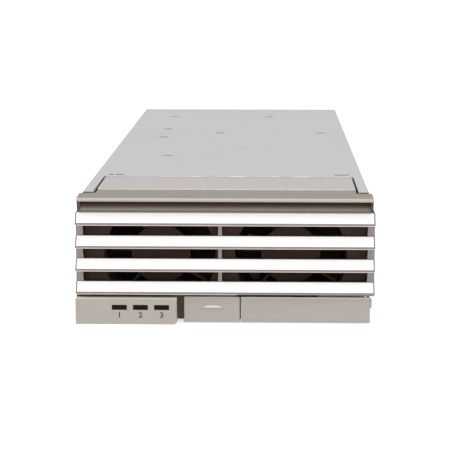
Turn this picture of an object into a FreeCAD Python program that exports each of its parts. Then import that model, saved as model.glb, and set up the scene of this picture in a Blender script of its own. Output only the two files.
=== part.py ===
# Plug-in rectifier module, one rack unit high: steel case, louvred front moulding, two fans,
# a thumb latch, a swing-out ejector handle and a board full of power parts.
# Frame: X to the right seen from the front, Y to the rear, Z up. The origin is in the middle
# of the underside of the tray. Lengths are millimetres.
import FreeCAD, Part
import math
import os
import re
import Sketcher

# Driving dimensions: name, value, meaning
SIZES = [
    ("cover_width", 96.0, "width over the side flanges of the cover"),
    ("case_length", 295.0, "front edge to rear wall of the case"),
    ("case_height", 43.2, "underside of the tray to the top of the cover"),
    ("sheet_metal", 1.0, "thickness of the case sheet"),
    ("cover_flange", 12.0, "height of the side flanges of the cover"),
    ("tongue_inset", 3.9, "side of the cover to the tongue at its front"),
    ("tongue_slit", 0.6, "width of the slit beside the tongue"),
    ("tongue_setback", 10.9, "front edge of the cover to the front of the tongue"),
    ("tongue_length", 29.1, "length of the tongue"),
    ("tongue_drop", 0.4, "depth of the tongue below the cover"),
    ("tongue_ramp", 2.4, "length of the step at the back of the tongue"),
    ("rivet_diameter", 5.0, "flush rivet in the cover"),
    ("slot_width", 1.6, "short slots in the cover"),
    ("bezel_overhang", 1.75, "front moulding past each side of the cover"),
    ("lip_inset", 0.7, "ends of the lip inside the ends of the louvre"),
    ("lip_reach", 10.4, "how far the lip stands before the case"),
    ("lip_drop", 0.55, "fall of the lip to its front edge"),
    ("lip_edge", 1.3, "height of the front edge of the lip"),
    ("lip_rear", 0.3, "lip at the case, below the top of the cover"),
    ("lip_gap", 0.3, "gap between the lip and the front edge of the cover"),
    ("cove_reach", 3.8, "floor of the cove before the case"),
    ("cove_wall", 1.3, "wall behind the cove"),
    ("cheek_wall", 0.5, "end walls of the cove"),
    ("land_depth", 10.6, "land of the moulding that runs back to the tongue"),
    ("land_drop", 0.45, "land below the face of the tongue"),
    ("blade_first", 5.95, "top of the case to the top of the first blade"),
    ("blade_sill", 0.5, "foot of the last blade above the sill"),
    ("blade_rise", 3.15, "height of a blade's face"),
    ("blade_lean", 2.4, "how far a blade's foot stands before its top"),
    ("blade_reach", 7.6, "top edge of a blade before the case"),
    ("blade_wall", 1.4, "thickness of a blade"),
    ("post_width", 2.0, "end posts of the louvre"),
    ("post_flare", 0.45, "how much a post widens down to the next blade"),
    ("post_reach", 7.0, "front of the posts before the case"),
    ("web_width", 0.9, "middle post of the louvre"),
    ("web_offset", 1.65, "middle post, left of the middle"),
    ("back_plate", 1.4, "plate that carries the fans"),
    ("panel_base", 0.4, "underside of the front panels above the tray's underside"),
    ("panel_height", 8.6, "height of the front panels"),
    ("running_gap", 0.3, "gap round the moving front panels"),
    ("sill_thick", 1.1, "sill above the moving panels"),
    ("sill_reach", 7.0, "front of the sill before the case"),
    ("moulding_wall", 1.2, "ordinary wall of the front moulding"),
    ("indicator_reach", 10.9, "front of the indicator panel before the case"),
    ("indicator_width", 33.75, "width of the indicator panel"),
    ("indicator_drop", 0.2, "indicator panel below the other panels"),
    ("indicator_corner", 0.9, "rounded corner of the indicator panel beside the latch"),
    ("window_width", 5.0, "indicator window"),
    ("window_height", 1.7, "indicator window"),
    ("window_pitch", 7.05, "spacing of the windows"),
    ("window_inset", 14.65, "left edge of the moulding to the first window's middle"),
    ("window_level", 5.9, "middle of the windows above the tray's underside"),
    ("pipe_flange", 0.6, "rim behind the wall that keeps a window in"),
    ("pipe_depth", 1.2, "depth of that rim"),
    ("lamp_height", 0.9, "height of an indicator lamp on its board"),
    ("lamp_board", 1.0, "thickness of the indicator board"),
    ("recess_reach", 3.0, "wall behind the moving panels, before the case"),
    ("recess_wall", 1.4, "thickness of that wall"),
    ("panel_reach", 8.0, "front of latch and handle before the case"),
    ("panel_face", 1.8, "front wall of latch and handle"),
    ("latch_gap", 2.35, "room for the latch to slide"),
    ("latch_width", 18.6, "width of the latch"),
    ("latch_travel", 1.6, "travel of the latch"),
    ("stem_width", 6.0, "guide stem of the latch"),
    ("stem_height", 3.6, "guide stem of the latch"),
    ("stem_inset", 3.0, "right edge of the latch to the stem"),
    ("stem_fit", 0.15, "clearance of the stem in its slot"),
    ("foot_overlap", 1.0, "how far the foot of the stem reaches past the slot"),
    ("foot_thick", 0.9, "thickness of the foot"),
    ("ridge_width", 7.8, "thumb ridge of the latch"),
    ("ridge_height", 0.95, "thumb ridge of the latch"),
    ("ridge_rise", 0.6, "how far the thumb ridge stands out"),
    ("ridge_level", 5.75, "middle of the thumb ridge above the tray's underside"),
    ("ridge_inset", 9.6, "left edge of the latch to the middle of the ridge"),
    ("spring_width", 5.0, "latch spring, end to end"),
    ("spring_leaf", 0.3, "thickness of the latch spring"),
    ("spring_height", 3.0, "height of the latch spring"),
    ("spring_depth", 1.7, "depth of the latch spring"),
    ("spring_inset", 2.0, "left edge of the latch to the spring's anchor"),
    ("anchor_width", 1.0, "post that anchors the spring, and the rib it pushes"),
    ("pivot_inset", 5.3, "right edge of the moulding to the hinge pin"),
    ("handle_inset", 1.35, "right edge of the moulding to the end of the handle"),
    ("hinge_setback", 4.4, "front of the handle to the hinge pin"),
    ("hinge_room", 2.7, "hinge pin to the inside of the handle"),
    ("knuckle_radius", 2.4, "knuckle and ear round the hinge pin"),
    ("pin_diameter", 2.0, "hinge pin"),
    ("pin_fit", 0.05, "radial clearance of the handle on its pin"),
    ("ear_thick", 1.3, "ear under the handle's knuckle"),
    ("ear_root", 3.0, "width of the ear's root"),
    ("cam_reach", 0.6, "how far the cam tooth stands out of the handle's end"),
    ("cam_length", 2.4, "cam tooth along the case"),
    ("cam_setback", 0.9, "front of the handle to the cam tooth"),
    ("cam_height", 3.1, "cam tooth"),
    ("cam_drop", 0.7, "top of the handle to the cam tooth"),
    ("tab_length", 9.0, "side tabs of the moulding inside the tray"),
    ("tab_height", 14.0, "side tabs of the moulding inside the tray"),
    ("tab_base", 13.0, "underside of the side tabs"),
    ("screw_diameter", 3.0, "case screws"),
    ("screw_head", 5.4, "head of the case screws"),
    ("screw_head_height", 0.9, "head of the case screws"),
    ("fan_depth", 28.0, "depth of a fan"),
    ("fan_flange", 4.0, "flange of a fan frame"),
    ("fan_rim", 1.2, "least wall between bore and side of a fan"),
    ("fan_wall", 0.9, "tube wall between the flanges"),
    ("fan_middle", 2.0, "side of a fan to the middle of the case"),
    ("fan_side", 3.0, "least gap between a fan and the side wall"),
    ("fan_clear", 0.6, "gap above and below a fan"),
    ("fan_hole", 3.4, "screw holes of a fan"),
    ("fan_hole_inset", 4.0, "side of a fan to its screw holes"),
    ("hub_diameter", 20.0, "hub of the impeller"),
    ("hub_wall", 1.0, "wall of the hub"),
    ("hub_setback", 3.0, "front of the fan to the front of the hub"),
    ("hub_length", 20.5, "length of the hub"),
    ("blade_tip_gap", 0.6, "impeller tip to bore"),
    ("impeller_wall", 0.9, "thickness of an impeller blade"),
    ("root_sweep", 7.0, "width of an impeller blade round the axis, at its root"),
    ("tip_sweep", 13.6, "width of an impeller blade round the axis, at its tip"),
    ("shaft_diameter", 2.0, "fan shaft"),
    ("shaft_fit", 0.05, "radial clearance of the shaft in its bearing"),
    ("bearing_diameter", 5.0, "outside of the sleeve bearing"),
    ("bearing_length", 15.0, "length of the sleeve bearing"),
    ("bearing_tube", 1.1, "wall of the tube round the bearing"),
    ("stator_diameter", 16.4, "outside of the stator"),
    ("stator_length", 11.0, "length of the stator"),
    ("mount_disc", 2.2, "motor mount at the rear of the fan"),
    ("strut_width", 2.0, "struts of the fan frame"),
    ("cover_screw_inset", 14.0, "rear of the case to the first cover screw"),
    ("cover_screw_front", 41.0, "front of the case to the first cover screw"),
    ("rivet_sink", 0.05, "rivets below the face of the cover"),
    ("mark_left", 31.3, "rivets of the left column, from the middle"),
    ("mark_inner", 6.9, "rivet left of the middle"),
    ("mark_middle", 14.8, "rivet right of the middle"),
    ("mark_right", 37.5, "rivet at the right"),
    ("mark_near", 25.4, "rivet nearest the front, from the middle"),
    ("row_rear", 256.5, "rearmost rivets from the front edge"),
    ("row_third", 199.7, "third row of rivets from the front edge"),
    ("row_pair", 183.7, "pair of rivets from the front edge"),
    ("row_second", 166.7, "second row of rivets from the front edge"),
    ("row_near", 100.3, "nearest rivet from the front edge"),
    ("slot_inset", 4.6, "side of the cover to its short slots"),
    ("slot_length", 5.3, "short slots in the cover"),
    ("slot_setback", 43.2, "short slots from the front edge"),
    ("vent_side", 3.0, "rear vents from the side walls"),
    ("vent_width", 3.0, "rear vents"),
    ("vent_height", 8.4, "rear vents"),
    ("vent_bridge", 1.6, "metal between the rows of vents"),
    ("vent_base", 22.0, "lowest vents above the tray's underside"),
    ("standoff_height", 4.0, "board above the tray floor"),
    ("standoff_diameter", 5.2, "board standoffs"),
    ("standoff_edge", 3.0, "standoffs from the edge of the board"),
    ("standoff_middle", 93.0, "middle standoffs from the front of the board"),
    ("insulator", 0.4, "insulating sheet on the tray floor"),
    ("insulator_gap", 1.0, "insulating sheet from the standoffs"),
    ("board_thick", 1.6, "main board"),
    ("board_side", 1.5, "main board from the side walls"),
    ("board_setback", 34.0, "front edge of the case to the main board"),
    ("board_rear_gap", 2.0, "rear wall to the main board"),
    ("board_screw", 2.5, "screws of the main board"),
    ("board_screw_head", 4.6, "screws of the main board"),
    ("board_screw_height", 1.6, "screws of the main board"),
    ("lane_margin", 1.0, "edge of the board to the side rows of power parts"),
    ("part_gap", 3.0, "gap between power parts"),
    ("bulk_margin", 2.0, "bulk capacitor from the sides of its row"),
    ("bulk_length", 44.0, "bulk capacitor"),
    ("input_choke_margin", 2.5, "input filter choke from the sides of its row"),
    ("input_choke_section", 9.0, "input filter choke"),
    ("input_choke_height", 14.0, "input filter choke"),
    ("film_length", 12.0, "filter capacitor along the case"),
    ("film_margin", 2.0, "filter capacitor from the sides of its row"),
    ("film_height", 20.0, "filter capacitor"),
    ("relay_length", 12.0, "inrush relay along the case"),
    ("relay_margin", 3.0, "inrush relay from the sides of its row"),
    ("relay_height", 15.0, "inrush relay"),
    ("fuse_diameter", 6.4, "input fuse"),
    ("fuse_margin", 1.5, "input fuse from the sides of its row"),
    ("fuse_glass", 5.6, "glass tube of the fuse"),
    ("fuse_cap", 6.0, "end caps of the fuse"),
    ("boost_margin", 0.5, "boost inductor from the sides of its row"),
    ("boost_section", 11.0, "boost inductor"),
    ("boost_height", 20.0, "boost inductor"),
    ("core_length", 36.0, "transformer core along the case"),
    ("core_margin", 0.5, "transformer core from the sides of its row"),
    ("core_height", 30.0, "transformer core"),
    ("core_leg", 6.0, "outer legs and yokes of the transformer core"),
    ("winding_room", 4.5, "room for the winding beside the middle leg"),
    ("winding_clearance", 0.3, "winding to the outer parts of the core"),
    ("resonant_length", 24.0, "resonant inductor along the case"),
    ("resonant_margin", 5.0, "resonant inductor from the sides of its row"),
    ("resonant_height", 22.0, "resonant inductor"),
    ("sink_base", 3.0, "base of a heat sink"),
    ("sink_fin", 1.2, "fins of a heat sink"),
    ("sink_pitch", 4.0, "spacing of the fins"),
    ("sink_reach", 6.0, "length of the fins"),
    ("primary_length", 110.0, "primary heat sink"),
    ("primary_height", 31.0, "primary heat sink"),
    ("primary_setback", 20.0, "front of the board to the primary heat sink"),
    ("secondary_length", 40.0, "output heat sink along the case"),
    ("secondary_margin", 5.0, "output heat sink from the sides of its row"),
    ("secondary_height", 26.0, "output heat sink"),
    ("package_width", 13.0, "power transistor"),
    ("package_height", 20.0, "power transistor"),
    ("package_thick", 4.8, "power transistor"),
    ("package_lift", 5.0, "power transistors above the board"),
    ("lead_width", 1.2, "leads of the power transistors"),
    ("lead_thick", 0.6, "leads of the power transistors"),
    ("output_choke_margin", 3.0, "output choke from the sides of its row"),
    ("output_choke_section", 9.0, "output choke"),
    ("output_choke_height", 16.0, "output choke"),
    ("can_gap", 0.5, "gap between output capacitors"),
    ("output_can_height", 25.0, "output capacitor"),
    ("control_length", 60.0, "control board along the case"),
    ("control_height", 27.0, "control board"),
    ("control_thick", 1.6, "control board"),
    ("auxiliary_length", 16.0, "auxiliary transformer"),
    ("auxiliary_height", 15.0, "auxiliary transformer"),
    ("plug_side", 2.5, "ears of the rear plug to the standoffs' corner"),
    ("plug_height", 12.0, "rear plug"),
    ("plug_depth", 15.0, "rear plug inside the case"),
    ("plug_proud", 7.0, "rear plug behind the case"),
    ("plug_fit", 0.2, "clearance of the plug in the rear wall"),
    ("plug_ear", 6.0, "ears of the rear plug"),
    ("plug_ear_height", 4.0, "ears of the rear plug"),
    ("plug_ear_length", 9.0, "ears of the rear plug along the case"),
    ("plug_wall", 1.5, "end walls of the rear plug"),
    ("cavity_width", 5.0, "blade cavities of the rear plug"),
    ("cavity_height", 8.6, "blade cavities of the rear plug"),
    ("cavity_depth", 12.0, "blade cavities of the rear plug"),
    ("power_blade", 1.2, "thickness of a power blade"),
    ("power_blade_height", 6.4, "height of a power blade"),
    ("power_blade_setback", 1.5, "power blades inside the mouth of the plug"),
    ("signal_setback", 4.5, "signal pins inside the mouth of the plug"),
    ("signal_pin", 0.8, "signal pins"),
    ("signal_pitch", 2.0, "spacing of the signal pins"),
    ("bus_width", 9.0, "output bus bar"),
    ("bus_thick", 2.0, "output bus bar"),
    ("bus_gap", 3.6, "gap between the output bus bars"),
]

BLADE_COUNT = 4
WINDOW_COUNT = 3
IMPELLER_BLADES = 7
COVER_SCREWS = 3
VENT_ROWS = 2
VENT_COLUMNS = 20
TRANSISTORS = 4
CAMBER_SHARE = 6
CAVITIES_A_SIDE = 3
CANS_ACROSS = 3
XY = "XY_Plane"
XZ = "XZ_Plane"
YZ = "YZ_Plane"
SIDES = (-1, 1)

# Places worked out from the driving dimensions
FRONT = "(-case_length/2)"
BACK = "(case_length/2)"
TOP = "case_height"
COVER_HALF = "(cover_width/2)"
TRAY_HALF = "(cover_width/2-sheet_metal)"
INSIDE_HALF = "(cover_width/2-2*sheet_metal)"
BEZEL_HALF = "(cover_width/2+bezel_overhang)"
LIP_HALF = "(cover_width/2+bezel_overhang-lip_inset)"
TONGUE_HALF = "(cover_width/2-tongue_inset)"
PANEL_TOP = "(panel_base+panel_height)"
SILL_BASE = "(panel_base+panel_height+running_gap)"
SILL_TOP = "(panel_base+panel_height+running_gap+sill_thick)"
BLADE_PITCH = f"(({TOP}-blade_first-blade_rise-{SILL_TOP}-blade_sill)/{BLADE_COUNT - 1})"
INDICATOR_RIGHT = f"(-{BEZEL_HALF}+indicator_width)"
INDICATOR_BASE = "(panel_base-indicator_drop)"
INDICATOR_TOP = f"({PANEL_TOP}-indicator_drop)"
LATCH_LEFT = f"({INDICATOR_RIGHT}+latch_gap)"
LATCH_RIGHT = f"({LATCH_LEFT}+latch_width)"
HANDLE_LEFT = f"({LATCH_RIGHT}+running_gap)"
PANEL_FRONT = f"({FRONT}-panel_reach)"
PANEL_BACK = f"({FRONT}-recess_reach-running_gap)"
RECESS_FACE = f"({FRONT}-recess_reach)"
RECESS_REAR = f"({FRONT}-recess_reach+recess_wall)"
HANDLE_RIGHT = f"({BEZEL_HALF}-handle_inset)"
PIVOT_X = f"({BEZEL_HALF}-pivot_inset)"
PIVOT_Y = f"({PANEL_FRONT}+hinge_setback)"
FAN_SIZE = f"(min({TOP}-2*sheet_metal-2*fan_clear; {INSIDE_HALF}-fan_side-fan_middle))"
FAN_OFFSET = f"({FAN_SIZE}/2+fan_middle)"
FAN_BORE = f"({FAN_SIZE}-2*fan_rim)"
FAN_HOLE_STEP = f"({FAN_SIZE}/2-fan_hole_inset)"
FAN_Z = f"(sheet_metal+fan_clear+{FAN_SIZE}/2)"
FAN_REAR = f"({FRONT}+fan_depth)"
VENT_FIRST = f"(vent_side-{INSIDE_HALF})"
VENT_PITCH = f"((2*({INSIDE_HALF}-vent_side)-vent_width)/{VENT_COLUMNS - 1})"
SCREW_PITCH = f"((case_length-cover_screw_inset-cover_screw_front)/{COVER_SCREWS - 1})"
BOARD_HALF = f"({INSIDE_HALF}-board_side)"
BOARD_FRONT = f"({FRONT}+board_setback)"
BOARD_REAR = f"({BACK}-sheet_metal-board_rear_gap)"
BOARD_BASE = "(sheet_metal+standoff_height)"
BOARD_TOP = "(sheet_metal+standoff_height+board_thick)"
PLUG_FRONT = f"({BACK}-sheet_metal-plug_depth)"
PLUG_REAR = f"({BACK}+plug_proud)"
PLUG_HALF = f"({BOARD_HALF}-2*standoff_edge-plug_ear-plug_side)"
CAVITY_PITCH = f"(({PLUG_HALF}-plug_wall-signal_pitch-cavity_width/2)/{CAVITIES_A_SIDE})"
PLUG_BASE = f"({BOARD_TOP}-plug_fit)"
PLUG_TOP = f"({BOARD_TOP}+plug_height+plug_fit)"

doc = FreeCAD.newDocument("power_supply_module")
sheet = doc.addObject("Spreadsheet::Sheet", "size")
for row, (alias, value, meaning) in enumerate(SIZES, start=1):
    sheet.set(f"A{row}", meaning)
    sheet.set(f"B{row}", str(value))
    sheet.setAlias(f"B{row}", alias)
doc.recompute()

ALIASES = {alias for alias, value, meaning in SIZES}
nodes = []


def bind(text):
    """The same expression, with every size read from the sheet."""
    return re.sub(
        r"[a-z_]+",
        lambda word: f"size.{word[0]}" if word[0] in ALIASES else word[0],
        str(text),
    )


def number(text):
    """The present value of an expression."""
    return float(sheet.evalExpression(bind(text)))


def new_body(label):
    """An empty body for one sub-part."""
    body = doc.addObject("PartDesign::Body", label)
    body.Label = label
    body.AllowCompound = True
    nodes.append(body)
    return body


def rect(left, right, low, high, radius=None):
    """A rectangle as four corners, with an optional corner radius."""
    corners = [(left, low), (right, low), (right, high), (left, high)]
    return [(u, v, radius) for u, v in corners]


def circle(u, v, radius):
    """A circle by its middle and radius."""
    return {"u": u, "v": v, "radius": radius}


class Drawing:
    """Lines, arcs and circles of one sketch, with the limits that tie them to the sizes."""

    def __init__(self):
        self.geometry = []
        self.helpers = []
        self.limits = []
        self.formulas = []

    def add(self, shape, helper=False):
        """Adds a shape and gives its number. A helper shape only carries limits."""
        self.geometry.append(shape)
        self.helpers.append(helper)
        return len(self.geometry) - 1

    def limit(self, *terms):
        self.limits.append(Sketcher.Constraint(*terms))

    def limit_by(self, text, *terms):
        """A limit whose value follows an expression."""
        self.formulas.append((len(self.limits), bind(text)))
        self.limit(*terms, number(text))

    def place_point(self, shape, end, u, v):
        """Ties a point to two expressions measured from the origin."""
        self.limit_by(u, "DistanceX", -1, 1, shape, end)
        self.limit_by(v, "DistanceY", -1, 1, shape, end)

    def write(self, sketch):
        for shape, helper in zip(self.geometry, self.helpers):
            sketch.addGeometry(shape, helper)
        sketch.addConstraint(self.limits)
        for index, text in self.formulas:
            sketch.setExpression(f"Constraints[{index}]", text)


def corner_arc(before, corner, after, radius):
    """Tangent points and arc for one rounded corner, and whether it turns left."""
    arriving = (corner - before).normalize()
    leaving = (after - corner).normalize()
    turn = math.atan2(arriving.cross(leaving).z, arriving.dot(leaving))
    setback = radius * math.tan(abs(turn) / 2)
    start = corner - arriving * setback
    end = corner + leaving * setback
    left = turn > 0
    normal = FreeCAD.Vector(-arriving.y, arriving.x, 0)
    centre = start + normal * (radius if left else -radius)
    first, last = (start, end) if left else (end, start)
    angles = [math.atan2(point.y - centre.y, point.x - centre.x) for point in (first, last)]
    if angles[1] < angles[0]:
        angles[1] += 2 * math.pi
    arc = Part.ArcOfCircle(Part.Circle(centre, FreeCAD.Vector(0, 0, 1), radius), *angles)
    return start, end, arc, left


def draw_polygon(drawing, loop):
    """A closed outline whose corners sit on expressions, some of them rounded."""
    count = len(loop)
    corners = [FreeCAD.Vector(number(u), number(v), 0) for u, v, radius in loop]
    starts = list(corners)
    ends = list(corners)
    arcs = {}
    for index, (u, v, radius) in enumerate(loop):
        if radius is not None:
            before, after = corners[index - 1], corners[(index + 1) % count]
            end, start, arc, left = corner_arc(before, corners[index], after, number(radius))
            ends[index], starts[index] = end, start
            arcs[index] = (arc, left)
    lines = []
    for index in range(count):
        lines.append(drawing.add(Part.LineSegment(starts[index], ends[(index + 1) % count])))
    for index, (u, v, radius) in enumerate(loop):
        arriving, leaving = lines[index - 1], lines[index]
        if index not in arcs:
            drawing.limit("Coincident", arriving, 2, leaving, 1)
            drawing.place_point(leaving, 1, u, v)
            continue
        arc, left = arcs[index]
        bend = drawing.add(arc)
        mark = drawing.add(Part.Point(corners[index]), True)
        drawing.place_point(mark, 1, u, v)
        drawing.limit("PointOnObject", mark, 1, arriving)
        drawing.limit("PointOnObject", mark, 1, leaving)
        first, last = (1, 2) if left else (2, 1)
        drawing.limit("Tangent", arriving, 2, bend, first)
        drawing.limit("Tangent", bend, last, leaving, 1)
        drawing.limit_by(radius, "Radius", bend)


def draw_circle(drawing, loop):
    centre = FreeCAD.Vector(number(loop["u"]), number(loop["v"]), 0)
    ring = drawing.add(Part.Circle(centre, FreeCAD.Vector(0, 0, 1), number(loop["radius"])))
    drawing.place_point(ring, 3, loop["u"], loop["v"])
    drawing.limit_by(loop["radius"], "Radius", ring)


def make_sketch(body, plane, level, loops):
    """A sketch on one of the body's own planes, at a level along that plane's axis."""
    sketch = body.newObject("Sketcher::SketchObject", f"{body.Name}_sketch")
    support = [item for item in body.Origin.OriginFeatures if item.Role == plane][0]
    sketch.AttachmentSupport = [(support, "")]
    sketch.MapMode = "FlatFace"
    sign = "-" if plane == XZ else ""
    sketch.setExpression("AttachmentOffset.Base.z", bind(f"{sign}({level})"))
    drawing = Drawing()
    for loop in loops:
        if isinstance(loop, dict):
            draw_circle(drawing, loop)
        else:
            draw_polygon(drawing, loop)
    drawing.write(sketch)
    return sketch


def pad(body, plane, low, high, loops):
    """Material between two levels along the plane's axis."""
    level = high if plane == XZ else low
    feature = body.newObject("PartDesign::Pad", f"{body.Name}_pad")
    feature.Profile = make_sketch(body, plane, level, loops)
    feature.setExpression("Length", bind(f"({high})-({low})"))
    body.Tip = feature
    return feature


def cut(body, plane, low, high, loops):
    """A pocket between two levels along the plane's axis."""
    level = low if plane == XZ else high
    feature = body.newObject("PartDesign::Pocket", f"{body.Name}_cut")
    feature.Profile = make_sketch(body, plane, level, loops)
    feature.setExpression("Length", bind(f"({high})-({low})"))
    body.Tip = feature
    return feature


def repeat_across(body, feature, count, pitch):
    """Copies of one feature along the X axis of its sketch."""
    pattern = body.newObject("PartDesign::LinearPattern", f"{feature.Name}_row")
    pattern.Originals = [feature]
    pattern.Direction = (feature.Profile[0], ["H_Axis"])
    pattern.Occurrences = count
    pattern.setExpression("Length", bind(f"{count - 1}*{pitch}"))
    body.Tip = pattern


def signed(side, text):
    """The expression on the left (-1) or on the right (1)."""
    return f"-({text})" if side < 0 else f"({text})"


def chassis_tray():
    """Folded tray: floor, two side walls and the rear wall with its vents and plug opening."""
    body = new_body("chassis_tray")
    wall_top = f"{TOP}-sheet_metal"
    floor = rect(f"-{TRAY_HALF}", TRAY_HALF, FRONT, BACK)
    pad(body, XY, "0", "sheet_metal", [floor])
    for side in SIDES:
        wall = rect(signed(side, INSIDE_HALF), signed(side, TRAY_HALF), FRONT, BACK)
        pad(body, XY, "sheet_metal", wall_top, [wall])
    rear = rect(f"-{INSIDE_HALF}", INSIDE_HALF, "sheet_metal", wall_top)
    pad(body, XZ, f"{BACK}-sheet_metal", BACK, [rear])
    opening = rect(f"-{PLUG_HALF}-plug_fit", f"{PLUG_HALF}+plug_fit", PLUG_BASE, PLUG_TOP)
    cut(body, XZ, f"{BACK}-sheet_metal", BACK, [opening])
    for row in range(VENT_ROWS):
        base = f"(vent_base+{row}*(vent_height+vent_bridge))"
        slot = rect(VENT_FIRST, f"({VENT_FIRST}+vent_width)", base, f"({base}+vent_height)")
        vent = cut(body, XZ, f"{BACK}-sheet_metal", BACK, [slot])
        repeat_across(body, vent, VENT_COLUMNS, VENT_PITCH)
    for side in SIDES:
        holes = [circle(y, z, "screw_diameter/2") for y, z in side_screws()]
        low, high = sorted_levels(side, INSIDE_HALF, TRAY_HALF)
        cut(body, YZ, low, high, holes)
    return body


def sorted_levels(side, inner, outer):
    """Low and high level of a wall on one side."""
    if side < 0:
        return f"-({outer})", f"-({inner})"
    return inner, outer


def side_screws():
    """Places, along and up, of the screws in each side wall."""
    bezel = (f"({FRONT}+tab_length/2)", "(tab_base+tab_height/2)")
    level = f"({TOP}-cover_flange/2)"
    cover = [(f"({BACK}-cover_screw_inset-{step}*{SCREW_PITCH})", level)
             for step in range(COVER_SCREWS)]
    return [bezel] + cover


def cover_marks():
    """Places of the flush rivets in the top, seen in the photo as faint rings."""
    return [(x, f"({FRONT}+{row})") for x, row in (
        ("(-mark_left)", "row_rear"),
        ("(-mark_left)", "row_third"),
        ("(-mark_left)", "row_second"),
        ("(-mark_inner)", "row_pair"),
        ("mark_middle", "row_rear"),
        ("mark_right", "row_pair"),
        ("(-mark_near)", "row_near"),
    )]


def top_cover():
    """Folded cover with side flanges, and a tongue at the front that is stepped down."""
    body = new_body("top_cover")
    under = f"({TOP}-sheet_metal)"
    opening = f"({TONGUE_HALF}+tongue_slit)"
    tongue_front = f"({FRONT}+tongue_setback)"
    tongue_back = f"({FRONT}+tongue_setback+tongue_length)"
    tongue_top = f"({TOP}-tongue_drop)"
    pad(body, XY, under, TOP, [rect(f"-{COVER_HALF}", COVER_HALF, FRONT, BACK)])
    for side in SIDES:
        flange = rect(signed(side, TRAY_HALF), signed(side, COVER_HALF), FRONT, BACK)
        pad(body, XY, f"{TOP}-cover_flange", under, [flange])
    cut(body, XY, under, TOP, [rect(f"-{opening}", opening, FRONT, tongue_back)])
    ramp_end = f"({tongue_back}+tongue_ramp/2)"
    ramp_start = f"({tongue_back}-tongue_ramp/2)"
    upper = [(tongue_front, tongue_top), (ramp_start, tongue_top), (ramp_end, TOP)]
    lower = [(u, f"{v}-sheet_metal") for u, v in reversed(upper)]
    profile = [(u, v, None) for u, v in upper + lower]
    pad(body, YZ, f"-{TONGUE_HALF}", TONGUE_HALF, [profile])
    rivets = [circle(x, y, "rivet_diameter/2") for x, y in cover_marks()]
    cut(body, XY, under, TOP, rivets)
    slot_low = f"({FRONT}+slot_setback)"
    slot_high = f"({slot_low}+slot_width)"
    slot_far = f"({COVER_HALF}-slot_inset)"
    slots = [rect(f"-{slot_far}", f"-{slot_far}+slot_length/3", slot_low, slot_high),
             rect(f"-{slot_far}+slot_length/2", f"-{slot_far}+slot_length", slot_low, slot_high),
             rect(f"{slot_far}-slot_length", slot_far, slot_low, slot_high)]
    cut(body, XY, under, TOP, slots)
    for side in SIDES:
        holes = [circle(y, z, "screw_diameter/2") for y, z in side_screws()[1:]]
        low, high = sorted_levels(side, TRAY_HALF, COVER_HALF)
        cut(body, YZ, low, high, holes)
    return body


def cover_rivets():
    """Flush rivets that fill their holes in the cover."""
    body = new_body("cover_rivets")
    discs = [circle(x, y, "rivet_diameter/2") for x, y in cover_marks()]
    pad(body, XY, f"{TOP}-sheet_metal", f"{TOP}-rivet_sink", discs)
    return body


def side_screw_group(label, places, inner, seat):
    """Pan-head screws through both side walls: shank from inner to the seat, head outside it."""
    body = new_body(label)
    for side in SIDES:
        low, high = sorted_levels(side, inner, seat)
        pad(body, YZ, low, high, [circle(y, z, "screw_diameter/2") for y, z in places])
        low, high = sorted_levels(side, seat, f"({seat}+screw_head_height)")
        pad(body, YZ, low, high, [circle(y, z, "screw_head/2") for y, z in places])
    return body


def louvre_steps():
    """Level where the gap under each blade starts, and where it ends."""
    steps = []
    for index in range(BLADE_COUNT):
        top = f"({TOP}-blade_first-{index}*{BLADE_PITCH})"
        end = f"({top}-{BLADE_PITCH})" if index < BLADE_COUNT - 1 else SILL_BASE
        steps.append((top, end))
    return steps


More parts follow.
